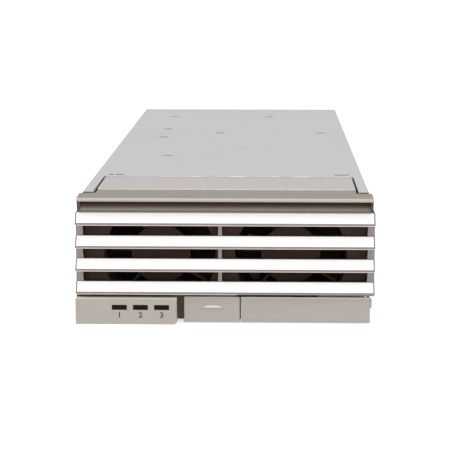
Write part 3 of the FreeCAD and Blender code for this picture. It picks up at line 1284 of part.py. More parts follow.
def ear_places():
    """Screw places in the ears of the rear plug."""
    return [(signed(side, f"{PLUG_HALF}+plug_ear/2"), f"({PLUG_FRONT}+plug_ear_length/2)") for side in SIDES]


def blade_outlines():
    level = f"({BOARD_TOP}+plug_height/2)"
    return [rect(f"{x}-power_blade/2", f"{x}+power_blade/2", f"{level}-power_blade_height/2",
                 f"{level}+power_blade_height/2") for x in cavity_middles()]


def pin_outlines():
    level = f"({BOARD_TOP}+plug_height/2)"
    half = "signal_pin/2"
    outlines = []
    for column in (-1, 0, 1):
        for row in (-1, 0, 1):
            x = f"({column}*signal_pitch)"
            z = f"({level}+{row}*signal_pitch)"
            outlines.append(rect(f"{x}-{half}", f"{x}+{half}", f"{z}-{half}", f"{z}+{half}"))
    return outlines


def plug_blades():
    """Power blades of the rear plug."""
    body = new_body("plug_blades")
    pad(body, XZ, PLUG_FRONT, f"({PLUG_REAR}-power_blade_setback)", blade_outlines())
    return body


def plug_pins():
    """Signal pins of the rear plug, shorter than the blades."""
    body = new_body("plug_pins")
    pad(body, XZ, PLUG_FRONT, f"({PLUG_REAR}-signal_setback)", pin_outlines())
    return body


def plug_screws():
    """Screws through the ears of the rear plug."""
    body = new_body("plug_screws")
    seat = f"({BOARD_TOP}+plug_ear_height)"
    pad(body, XY, BOARD_TOP, seat, [circle(x, y, "board_screw/2") for x, y in ear_places()])
    heads = [circle(x, y, "board_screw_head/2") for x, y in ear_places()]
    pad(body, XY, seat, f"({seat}+board_screw_height)", heads)
    return body


def ring_middle(column, start, outer):
    """Middle of a ring core that starts at one place of a row."""
    return (column, f"({start}+{outer}/2)")


chassis_tray()
top_cover()
cover_rivets()
side_screw_group("cover_screws", side_screws()[1:], INSIDE_HALF, COVER_HALF)
front_bezel()
side_screw_group("bezel_screws", side_screws()[:1], f"({INSIDE_HALF}-moulding_wall)", TRAY_HALF)
indicator_windows()
indicator_lamps()
indicator_board()
latch_slider()
latch_spring()
ejector_handle()
handle_pin()
for side, name in zip(SIDES, ("left", "right")):
    fan_frame(side, name)
    fan_bearing(side, name)
    fan_stator(side, name)
    fan_rotor(side, name)
fan_screws()
board_standoffs()
board_screws()
insulator_sheet()
main_board()
bulk_capacitors()
wound_ring("input_chokes", [ring_middle(LEFT, start, INPUT_CHOKE) for start in (CHOKE_ONE, CHOKE_TWO)],
           INPUT_CHOKE, "input_choke_section", "input_choke_height")
block_parts("filter_capacitors", (FILM_ONE, FILM_TWO), LEFT, "film_length", within_row("film_margin"),
            "film_height")
block_parts("inrush_relay", (RELAY,), LEFT, "relay_length", within_row("relay_margin"), "relay_height")
input_fuse()
wound_ring("boost_inductor", [ring_middle(RIGHT, BOOST, BOOST_WIDTH)],
           BOOST_WIDTH, "boost_section", "boost_height")
transformer_core()
transformer_winding()
block_parts("resonant_inductor", (RESONANT,), RIGHT, "resonant_length", within_row("resonant_margin"),
            "resonant_height")
heat_sink_primary()
heat_sink_secondary()
power_transistors()
bridge_rectifier()
wound_ring("output_choke", [ring_middle(RIGHT, OUTPUT_CHOKE, OUTPUT_CHOKE_WIDTH)],
           OUTPUT_CHOKE_WIDTH, "output_choke_section", "output_choke_height")
output_capacitors()
control_board()
block_parts("auxiliary_transformer", (AUXILIARY,), "0", "auxiliary_length", "auxiliary_length",
            "auxiliary_height")
output_bus_bars()
rear_plug()
plug_blades()
plug_pins()
plug_screws()
doc.recompute()

for item in doc.Objects:
    if "Invalid" in item.State or "Error" in item.State:
        raise RuntimeError(f"{item.Name} failed: {item.State}")
    if item.TypeId == "PartDesign::Pocket" and item.Shape.Volume >= item.BaseFeature.Shape.Volume:
        raise RuntimeError(f"{item.Name} removes nothing")
for node in nodes:
    if node.Shape.isNull() or not node.Shape.isValid():
        raise RuntimeError(f"{node.Label} has no valid shape")

os.makedirs("parts", exist_ok=True)
for node in nodes:
    node.Shape.exportStep(f"parts/{node.Label}.step")
    print(node.Label, len(node.Shape.Solids), round(node.Shape.Volume, 2))
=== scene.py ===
import bpy
import bmesh
import math
from mathutils import Matrix, Vector


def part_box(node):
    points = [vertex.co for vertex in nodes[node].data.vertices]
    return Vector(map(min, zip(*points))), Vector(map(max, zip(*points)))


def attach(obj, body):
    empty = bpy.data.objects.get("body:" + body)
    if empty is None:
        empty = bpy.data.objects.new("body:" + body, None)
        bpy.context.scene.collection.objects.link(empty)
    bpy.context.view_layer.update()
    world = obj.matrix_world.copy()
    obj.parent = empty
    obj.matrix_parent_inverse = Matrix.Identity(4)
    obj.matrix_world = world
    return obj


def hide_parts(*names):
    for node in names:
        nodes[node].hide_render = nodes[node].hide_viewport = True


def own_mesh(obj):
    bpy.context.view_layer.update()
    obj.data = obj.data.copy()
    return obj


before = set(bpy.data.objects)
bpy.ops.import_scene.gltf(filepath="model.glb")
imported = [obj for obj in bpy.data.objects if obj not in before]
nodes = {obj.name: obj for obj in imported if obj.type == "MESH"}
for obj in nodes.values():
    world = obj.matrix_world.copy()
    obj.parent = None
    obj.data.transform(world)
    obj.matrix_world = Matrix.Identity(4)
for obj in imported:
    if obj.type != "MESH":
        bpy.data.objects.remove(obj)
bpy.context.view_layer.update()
scene = bpy.context.scene
MM = 0.001

# Tray, cover and rivets
# Folded from zinc-coated steel sheet and left bare. The cover drops over the tray with two
# side flanges, and its front tongue is cut free and stepped down to meet the front moulding.
cover_low, cover_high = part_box("top_cover")
case_front = cover_low.y
case_top = cover_high.z
flange_foot = cover_low.z
SHEET_SOFT = 0.12 * MM
WELD_REACH = 0.002 * MM
FLAT_ANGLE = math.radians(1.0)
SHARP_ANGLE = math.radians(32)
EDGE_STEPS = 2
ROLLED_GRAIN = 0.5 * MM
GRAIN_STRETCH = 0.02
ZINC_CLOUD = 45 * MM
GLINT_LENGTH = 6 * MM

# Borders between two tones on the sheet: where the second starts, and where it is full
TOP_BAND = (case_top - 1.6 * MM, case_top - 1.5 * MM)
PRESSED_DEPTH = (case_top - 0.2 * MM, case_top - 0.35 * MM)
TONGUE_START = (case_front + 5.0 * MM, case_front + 6.0 * MM)
TONGUE_END = (case_front + 42.0 * MM, case_front + 41.0 * MM)
TONGUE_MIDDLE = (case_front + 30.0 * MM, case_front + 29.0 * MM)
GLINT_SHARE = (0.4, 0.6)
GLINT_START = (-38 * MM, -18 * MM)
SEAM_BASE = (flange_foot - 0.4 * MM, flange_foot - 0.3 * MM)
SEAM_TOP = (flange_foot + 0.4 * MM, flange_foot + 0.3 * MM)
TURNED_FRONT = (-0.75, -0.9)
TURNED_SIDE = (0.6, 0.8)


def linear(hex_colour):
    """Scene-linear RGBA of an sRGB hex colour."""
    channels = [int(hex_colour[index:index + 2], 16) / 255 for index in (0, 2, 4)]
    straight = [c / 12.92 if c <= 0.04045 else ((c + 0.055) / 1.055) ** 2.4 for c in channels]
    return (*straight, 1.0)


def add_node(tree, kind, settings=None, links=None):
    """A shader node with its settings and links. An input goes by its name or its number."""
    node = tree.nodes.new(kind)
    for name, value in (settings or {}).items():
        if isinstance(name, str) and name not in node.inputs:
            setattr(node, name, value)
        else:
            node.inputs[name].default_value = value
    for name, source in (links or {}).items():
        tree.links.new(source, node.inputs[name])
    return node


def new_finish(name):
    """An empty material with its Principled shader and its Object coordinates."""
    material = bpy.data.materials.new(name)
    material.use_nodes = True
    tree = material.node_tree
    place = add_node(tree, "ShaderNodeTexCoord").outputs["Object"]
    return material, tree, tree.nodes["Principled BSDF"], place


def close_finish(tree, shader, links, settings):
    """Joins tones and reliefs to the shader, and sets its plain values."""
    for name, source in links.items():
        tree.links.new(source, shader.inputs[name])
    for name, value in settings.items():
        shader.inputs[name].default_value = value


def read_surface(tree, place):
    """Where a point of the surface lies, which way it faces, and how much of that is sideways."""
    where = add_node(tree, "ShaderNodeSeparateXYZ", links={0: place}).outputs
    normal = add_node(tree, "ShaderNodeNewGeometry").outputs["Normal"]
    facing = add_node(tree, "ShaderNodeSeparateXYZ", links={0: normal}).outputs
    sideways = add_node(tree, "ShaderNodeMath", {"operation": "ABSOLUTE"}, {0: facing["X"]})
    return where, facing, sideways.outputs[0]


def zone(tree, *limits):
    """A mask that is 1 where all limits hold. A limit is a mask, or a value and its border."""
    masks = []
    for limit in limits:
        if isinstance(limit, tuple):
            value, start, end = limit
            limit = add_node(tree, "ShaderNodeMapRange", {"From Min": start, "From Max": end},
                             {"Value": value}).outputs["Result"]
        masks.append(limit)
    whole = masks[0]
    for mask in masks[1:]:
        whole = add_node(tree, "ShaderNodeMath", {"operation": "MULTIPLY"},
                         {0: whole, 1: mask}).outputs[0]
    return whole


def coat(tree, below, colour, *limits):
    """Another colour over the one below, in the zone where all limits hold."""
    return add_node(tree, "ShaderNodeMix", {"data_type": "RGBA", 7: linear(colour)},
                    {0: zone(tree, *limits), 6: below}).outputs[2]


def dress(material, *names):
    """Gives CAD nodes a finish."""
    for name in names:
        node_object = nodes[name]
        node_object.data.materials.clear()
        node_object.data.materials.append(material)


def soften(width, *names):
    """Rounds the sharp edges of CAD nodes a little, as a press or a mould leaves them."""
    for name in names:
        node_object = nodes[name]
        weld = node_object.modifiers.new("weld", "WELD")
        weld.merge_threshold = WELD_REACH
        flat = node_object.modifiers.new("flat", "DECIMATE")
        flat.decimate_type = "DISSOLVE"
        flat.angle_limit = FLAT_ANGLE
        edge = node_object.modifiers.new("edge", "BEVEL")
        edge.width = width
        edge.segments = EDGE_STEPS
        edge.limit_method = "ANGLE"
        edge.angle_limit = SHARP_ANGLE


def zinc_sheet():
    """Bare zinc-coated steel: an even pale grey with a faint rolled grain along the sheet."""
    material, tree, shader, place = new_finish("zinc_coated_sheet")
    where, facing, sideways = read_surface(tree, place)
    # Rolled grain is about 0.05 mm wide: drawn near 0.5 mm so that it shows
    stretched = add_node(tree, "ShaderNodeMapping", {"Scale": (1.0, GRAIN_STRETCH, 1.0)},
                         {"Vector": place})
    grain = add_node(tree, "ShaderNodeTexNoise", {"Scale": 1 / ROLLED_GRAIN, "Detail": 3.0},
                     {"Vector": stretched.outputs["Vector"]}).outputs["Fac"]
    cloud = add_node(tree, "ShaderNodeTexNoise", {"Scale": 1 / ZINC_CLOUD, "Detail": 2.0},
                     {"Vector": place}).outputs["Fac"]
    tone = add_node(tree, "ShaderNodeMix",
                    {"data_type": "RGBA", 6: linear("BEBBBC"), 7: linear("C6C4C5")},
                    {0: cloud}).outputs[2]

    # The pressed tongue is a little warmer than the flat sheet
    on_top = zone(tree, (where["Z"], *TOP_BAND))
    tongue = zone(tree, on_top, (where["Y"], *TONGUE_START), (where["Y"], *TONGUE_END))
    tone = coat(tree, tone, "BAB5B2", tongue, (where["Z"], *PRESSED_DEPTH))

    # Faces turned to the front take a painted shade, dull brown, at the front of the cover and in
    # its slots, and a painted highlight at the tongue: all along its front edge, and along its rear
    # edge as a line that breaks up and thins out to the left
    cut_face = zone(tree, (facing["Y"], *TURNED_FRONT))
    tone = coat(tree, tone, "5B4F44", cut_face, on_top)
    tone = coat(tree, tone, "B5B2AF", cut_face, tongue)
    glint_noise = add_node(tree, "ShaderNodeTexNoise", {"Scale": 1 / GLINT_LENGTH, "Detail": 2.0},
                    {"Vector": place}).outputs["Fac"]
    glint_breaks = zone(tree, (glint_noise, *GLINT_SHARE), (where["X"], *GLINT_START))
    front_half = zone(tree, (where["Y"], *TONGUE_MIDDLE))
    bright = add_node(tree, "ShaderNodeMath", {"operation": "MAXIMUM"}, {0: glint_breaks, 1: front_half})
    tone = coat(tree, tone, "DED6CB", cut_face, tongue, bright.outputs[0])

    # Painted shade: a dull line along the tray at the foot of the side flanges, for the thin shadow
    # under their overhang
    tone = coat(tree, tone, "6F6A66", (sideways, *TURNED_SIDE), (where["Z"], *SEAM_BASE),
                (where["Z"], *SEAM_TOP))
    gloss = add_node(tree, "ShaderNodeMapRange", {"To Min": 0.38, "To Max": 0.52}, {"Value": grain})
    relief = add_node(tree, "ShaderNodeBump", {"Strength": 0.08, "Distance": 0.02 * MM},
                      {"Height": grain})
    close_finish(tree, shader, {"Base Color": tone, "Roughness": gloss.outputs["Result"],
                                "Normal": relief.outputs["Normal"]}, {"Metallic": 0.5})
    return material


def mottled(name, pale, dark, grain, gloss, metallic=0.0, relief=0.1):
    """A finish whose tone and gloss wander over grains of a size in millimetres."""
    material, tree, shader, place = new_finish(name)
    noise = add_node(tree, "ShaderNodeTexNoise", {"Scale": 1 / (grain * MM), "Detail": 3.0},
                     {"Vector": place}).outputs["Fac"]
    tone = add_node(tree, "ShaderNodeMix",
                    {"data_type": "RGBA", 6: linear(pale), 7: linear(dark)}, {0: noise})
    rough = add_node(tree, "ShaderNodeMapRange", {"To Min": gloss[0], "To Max": gloss[1]},
                     {"Value": noise})
    bump = add_node(tree, "ShaderNodeBump", {"Strength": relief, "Distance": 0.05 * MM},
                    {"Height": noise})
    close_finish(tree, shader, {"Base Color": tone.outputs[2], "Roughness": rough.outputs["Result"],
                                "Normal": bump.outputs["Normal"]}, {"Metallic": metallic})
    return material


dress(zinc_sheet(), "chassis_tray", "top_cover")
# Rivet heads are ground flush, which leaves them darker and coarser than the sheet
dress(mottled("ground_rivet_steel", "969495", "ACAAAB", 0.8, (0.4, 0.6), metallic=0.5),
      "cover_rivets")
soften(SHEET_SOFT, "chassis_tray", "top_cover")

# Screws, standoffs, pins and springs
# Zinc-plated steel. The case screws have pan heads with a cross recess, pressed cold from wire,
# so their heads are domed and the recess has crisp edges.
HEAD_HEIGHT = 0.9 * MM
SHANK_SHARE = 0.55
SHANK_REACH = 0.04
RECESS_DEPTH = 0.55 * MM
RECESS_WIDTH = 0.8 * MM
RECESS_SPAN = 1.15
DOME = ((0.0, 1.0), (0.55, 0.96), (0.86, 0.74), (1.0, 0.36), (1.0, 0.0))
DOME_STEPS = 28
MERGE_REACH = 0.001 * MM

# Plating gives the steel a bright, slightly cloudy grey
plated_steel = mottled("zinc_plated_steel", "A1A2A0", "BABAB6", 0.6, (0.28, 0.42), metallic=0.9,
                       relief=0.05)
dress(plated_steel, "cover_screws", "bezel_screws", "fan_screws", "board_screws", "board_standoffs",
      "plug_screws", "handle_pin", "latch_spring")


def add_piece(name, shape, material, slot_name, *replaced):
    """Turns a bmesh into a piece of the scene that rides on the case."""
    mesh = bpy.data.meshes.new(name)
    shape.to_mesh(mesh)
    shape.free()
    mesh.materials.append(material)
    piece = bpy.data.objects.new(name, mesh)
    scene.collection.objects.link(piece)
    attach(piece, "case")
    if replaced:
        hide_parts(*replaced)
    return piece


def carve(blank, tool):
    """The mesh of one shape with another taken out of it."""
    pair = []
    for name, shape in (("blank", blank), ("tool", tool)):
        mesh = bpy.data.meshes.new(name)
        shape.to_mesh(mesh)
        shape.free()
        pair.append(bpy.data.objects.new(name, mesh))
        scene.collection.objects.link(pair[-1])
    difference = pair[0].modifiers.new("difference", "BOOLEAN")
    difference.operation = "DIFFERENCE"
    difference.solver = "EXACT"
    difference.use_self = True
    difference.object = pair[1]
    finished = pair[0].evaluated_get(bpy.context.evaluated_depsgraph_get())
    result = bpy.data.meshes.new_from_object(finished)
    for item in pair:
        bpy.data.objects.remove(item)
    return result


def pan_head(radius, length):
    """A pan-head screw along Z, its seat at the origin, with a cross recess in the dome."""
    blank = bmesh.new()
    shank = radius * SHANK_SHARE
    outline = [(radius * out, HEAD_HEIGHT * up) for out, up in DOME]
    outline += [(shank, 0), (shank, -length), (0, -length)]
    corners = [blank.verts.new((out, 0, up)) for out, up in outline]
    edges = [blank.edges.new(pair) for pair in zip(corners, corners[1:])]
    bmesh.ops.spin(blank, geom=corners + edges, axis=(0, 0, 1), cent=(0, 0, 0),
                   angle=2 * math.pi, steps=DOME_STEPS, use_merge=True)
    bmesh.ops.remove_doubles(blank, verts=blank.verts, dist=MERGE_REACH)
    bmesh.ops.recalc_face_normals(blank, faces=blank.faces)
    cross = bmesh.new()
    arm = Matrix.Diagonal((radius * RECESS_SPAN, RECESS_WIDTH, 2 * RECESS_DEPTH, 1))
    for turn in (0, math.pi / 2):
        place = Matrix.Translation((0, 0, HEAD_HEIGHT)) @ Matrix.Rotation(turn, 4, "Z")
        bmesh.ops.create_cube(cross, size=1, matrix=place @ arm)
    return carve(blank, cross)


def screw_set(name, node, rows):
    """Screws in both side walls, at the places of a CAD node, with detailed heads."""
    low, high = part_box(node)
    radius = (high.z - low.z) / 2
    seat = high.x - HEAD_HEIGHT
    screw = pan_head(radius, seat * SHANK_REACH)
    first, last = low.y + radius, high.y - radius
    together = bmesh.new()
    for side in (-1, 1):
        for row in range(rows):
            before = set(together.verts)
            together.from_mesh(screw)
            fresh = [vert for vert in together.verts if vert not in before]
            along = first + (last - first) * row / max(rows - 1, 1)
            place = Matrix.Translation((side * seat, along, (low.z + high.z) / 2))
            turn = Matrix.Rotation(side * math.pi / 2, 4, "Y")
            bmesh.ops.transform(together, matrix=place @ turn, verts=fresh)
    add_piece(name, together, plated_steel, "plated_steel", node)


screw_set("cover_screw_set", "cover_screws", 3)
screw_set("bezel_screw_set", "bezel_screws", 1)

# Circuit boards and the sheet under them
# Woven glass and epoxy with green solder mask. Copper tracks run under the mask and show as
# slightly darker areas. A clear polyester sheet keeps the solder side off the tray.
COPPER_AREA = 6 * MM
COPPER_EDGE = (0.06, 0.09)


def masked_board():
    """Green solder mask over glass epoxy, with the copper below it faintly raised."""
    material, tree, shader, place = new_finish("green_solder_mask")
    # Copper areas are some 6 mm across, with a gap of about 0.5 mm between them
    tracks = add_node(tree, "ShaderNodeTexVoronoi",
                      {"feature": "DISTANCE_TO_EDGE", "Scale": 1 / COPPER_AREA}, {"Vector": place})
    copper = zone(tree, (tracks.outputs["Distance"], *COPPER_EDGE))
    tone = add_node(tree, "ShaderNodeMix",
                    {"data_type": "RGBA", 6: linear("2A5238"), 7: linear("1C3E29")}, {0: copper})
    bump = add_node(tree, "ShaderNodeBump", {"Strength": 0.2, "Distance": 0.05 * MM},
                    {"Height": copper})
    close_finish(tree, shader, {"Base Color": tone.outputs[2], "Normal": bump.outputs["Normal"]},
                 {"Roughness": 0.35})
    return material


dress(masked_board(), "main_board", "control_board", "indicator_board")
# Polyester film looks milky and has an even gloss
dress(mottled("polyester_film", "D8D6C8", "E4E2D6", 4.0, (0.2, 0.3)), "insulator_sheet")

# Power parts on the board
# Capacitors in shrunk sleeves, moulded boxes, pressed ferrite, wound rings and cores, extruded
# aluminium heat sinks with epoxy packages on them, a ceramic fuse and copper bars.


def wound_wire(name, pale, dark, pitch):
    """Enamelled wire laid side by side: ridges one wire apart."""
    material, tree, shader, place = new_finish(name)
    ridges = add_node(tree, "ShaderNodeTexWave", {"Scale": 1 / (pitch * MM) / 2, "Distortion": 1.5},
                      {"Vector": place}).outputs["Fac"]
    tone = add_node(tree, "ShaderNodeMix",
                    {"data_type": "RGBA", 6: linear(dark), 7: linear(pale)}, {0: ridges})
    bump = add_node(tree, "ShaderNodeBump", {"Strength": 0.5, "Distance": 0.2 * MM},
                    {"Height": ridges})
    close_finish(tree, shader, {"Base Color": tone.outputs[2], "Normal": bump.outputs["Normal"]},
                 {"Metallic": 0.6, "Roughness": 0.35})
    return material


# Shrunk PVC is smooth and dark blue, polypropylene boxes are yellow with a soft gloss
dress(mottled("shrunk_pvc_sleeve", "1B1F2C", "252A3A", 3.0, (0.3, 0.42)),
      "bulk_capacitors", "output_capacitors")
dress(mottled("polypropylene_box", "C9A624", "D6B436", 2.5, (0.35, 0.5)), "filter_capacitors")
# Ferrite is pressed from powder: dark grey, dull and grainy. The wire on it shines through enamel
dress(mottled("pressed_ferrite", "2E2E30", "3C3C3E", 0.5, (0.45, 0.65), relief=0.25),
      "transformer_core", "resonant_inductor", "auxiliary_transformer")
dress(wound_wire("enamelled_wire", "B0693A", "6E3A1C", 1.2),
      "input_chokes", "boost_inductor", "output_choke", "transformer_winding")
# Extruded aluminium is pale and satin, the epoxy packages on it are black and matt
dress(mottled("extruded_aluminium", "B8B9BB", "CBCCCE", 0.7, (0.32, 0.48), metallic=0.9),
      "primary_heat_sink", "output_heat_sink")
dress(mottled("black_moulding_epoxy", "161616", "232323", 0.4, (0.5, 0.65), relief=0.2),
      "power_transistors", "bridge_rectifier")
# The relay's case is smooth and near black, the fuse is glazed, the bars are warm bare copper
dress(mottled("relay_case_plastic", "20242A", "2A2F36", 1.5, (0.35, 0.5)), "inrush_relay")
dress(mottled("fuse_ceramic", "D2CEC2", "E0DCD2", 1.0, (0.3, 0.4)), "input_fuse")
dress(mottled("rolled_copper", "B06A42", "C4805A", 1.5, (0.3, 0.45), metallic=0.95),
      "output_bus_bars")

# Rear plug
# Glass-filled black nylon, moulded in one block, with stamped blades and pins pressed into it.
# The glass makes the nylon matt, and the thin gilding makes the contacts a soft yellow.
PLUG_SOFT = 0.2 * MM
dress(mottled("glass_filled_nylon", "131313", "202020", 0.5, (0.45, 0.6), relief=0.2), "rear_plug")
dress(mottled("gilt_contact_bronze", "B8964E", "CDAE68", 1.0, (0.22, 0.35), metallic=0.95),
      "plug_blades", "plug_pins")
soften(PLUG_SOFT, "rear_plug")

# Fans
# Frames and impellers are moulded in black polyester, which is matt and looks brown in the
# shade. The shaft turns in a sintered bronze sleeve, inside a stator wound with enamelled wire.
MATT_SPECULAR = 0.2
frame_black = mottled("black_polyester", "4B3730", "56413B", 0.6, (0.55, 0.7), relief=0.15)
rotor_black = mottled("glass_filled_polyester", "352521", "402D28", 0.4, (0.6, 0.75), relief=0.2)
for black in (frame_black, rotor_black):
    shader = black.node_tree.nodes["Principled BSDF"]
    shader.inputs["Specular IOR Level"].default_value = MATT_SPECULAR
dress(frame_black, "fan_frame_left", "fan_frame_right")
dress(rotor_black, "fan_rotor_left", "fan_rotor_right")
dress(mottled("sintered_bronze", "8A6A3C", "A8844E", 0.3, (0.4, 0.55), metallic=0.9),
      "fan_bearing_left", "fan_bearing_right")
dress(wound_wire("stator_wire", "B0693A", "6E3A1C", 0.5), "fan_stator_left", "fan_stator_right")

# Front moulding, latch and handle
# Moulded in black ABS and sprayed silver from outside: a warm grey metallic lacquer on panels and
# lip, and none where the spray doesn't reach. Painted shade, painted highlights and, on the leaning
# blade faces, a near-white painted reflection of the overhead light lie over it.
HALF_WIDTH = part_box("front_bezel")[1].x
BEZEL_SOFT = 0.2 * MM
PANEL_SOFT = 0.35 * MM
SILL_TOP = 10.4 * MM
SILL_BASE = SILL_TOP - 1.1 * MM
COVE_LOW = case_top - 5.7 * MM
LIP_UNDER = case_top - 1.85 * MM
LACQUER_CLOUD = 12 * MM
LACQUER_FLAKE = 0.25 * MM

# Borders between tones of the lip and the cove, as on the sheet
LIP_LEVEL = (COVE_LOW, LIP_UNDER)
LIP_FACE = (LIP_UNDER - 0.1 * MM, LIP_UNDER)
LIP_HIGHLIGHT = (LIP_UNDER + 0.5 * MM, LIP_UNDER + 0.8 * MM)
COVE_BASE = (COVE_LOW - 0.1 * MM, COVE_LOW + 0.1 * MM)
COVE_TOP = (LIP_UNDER + 0.1 * MM, LIP_UNDER - 0.1 * MM)
COVE_SHADE_RAMP = (LIP_UNDER - 0.9 * MM, COVE_LOW + 0.15 * MM)
COVE_FOOT = (COVE_LOW + 0.25 * MM, COVE_LOW + 0.15 * MM)
COVE_CHEEK = (HALF_WIDTH - 1.4 * MM, HALF_WIDTH - 1.2 * MM)

# Borders on the louvre and the sill under it
LOUVRE_BASE = (SILL_TOP - 1.2 * MM, SILL_TOP - 1.0 * MM)
LOUVRE_TOP = (COVE_LOW + 0.2 * MM, COVE_LOW)
BLADE_FOOT = (case_front - 9.6 * MM, case_front - 9.75 * MM)
BLADE_END = (HALF_WIDTH - 0.55 * MM, HALF_WIDTH - 0.5 * MM)
WHITE_FOOT = (case_front - 9.98 * MM, case_front - 9.9 * MM)
WHITE_END = (HALF_WIDTH - 0.4 * MM, HALF_WIDTH - 0.45 * MM)
OUTER_SIDE = (HALF_WIDTH - 1.6 * MM, HALF_WIDTH - 1.4 * MM)
GAP_SHADE_TOP = (SILL_TOP - 0.18 * MM, SILL_TOP - 0.22 * MM)
GAP_SHADE_BASE = (SILL_BASE - 0.1 * MM, SILL_BASE - 0.05 * MM)
HANDLE_START = (3.5 * MM, 4.5 * MM)
HINGE_START = (30.5 * MM, 31.5 * MM)

# Borders on the panels, and on the walls behind them
PANEL_TOP = (SILL_TOP - 1.0 * MM, SILL_TOP - 1.2 * MM)
PANEL_EDGE = (7.5 * MM, 7.6 * MM)
RIDGE_FRONT = (case_front - 8.15 * MM, case_front - 8.25 * MM)
RIDGE_START = (-15.5 * MM, -14.5 * MM)
RIDGE_BASE = (5.45 * MM, 5.6 * MM)
GAP_BASE = (SILL_TOP - 1.65 * MM, SILL_TOP - 1.55 * MM)
GAP_DEPTH = (case_front - 7.3 * MM, case_front - 7.1 * MM)
BARE_SHADE_DEPTH = (case_front - 7.0 * MM, case_front - 5.6 * MM)
BARE_SHADE_TOP = (LIP_UNDER + 0.3 * MM, LIP_UNDER)

# Borders by the way a face is turned
TURNED_LEVEL = (0.94, 0.99)
TURNED_UP = (0.2, 0.4)
TURNED_DOWN = (-0.15, -0.35)
LEANING_UP = (0.3, 0.4)
LEANING_FRONT = (-0.25, -0.35)
LIP_FRONT = (-0.6, -0.8)
CHEEK_FRONT = (-0.4, -0.6)
INVERSE = (1.0, 0.0)


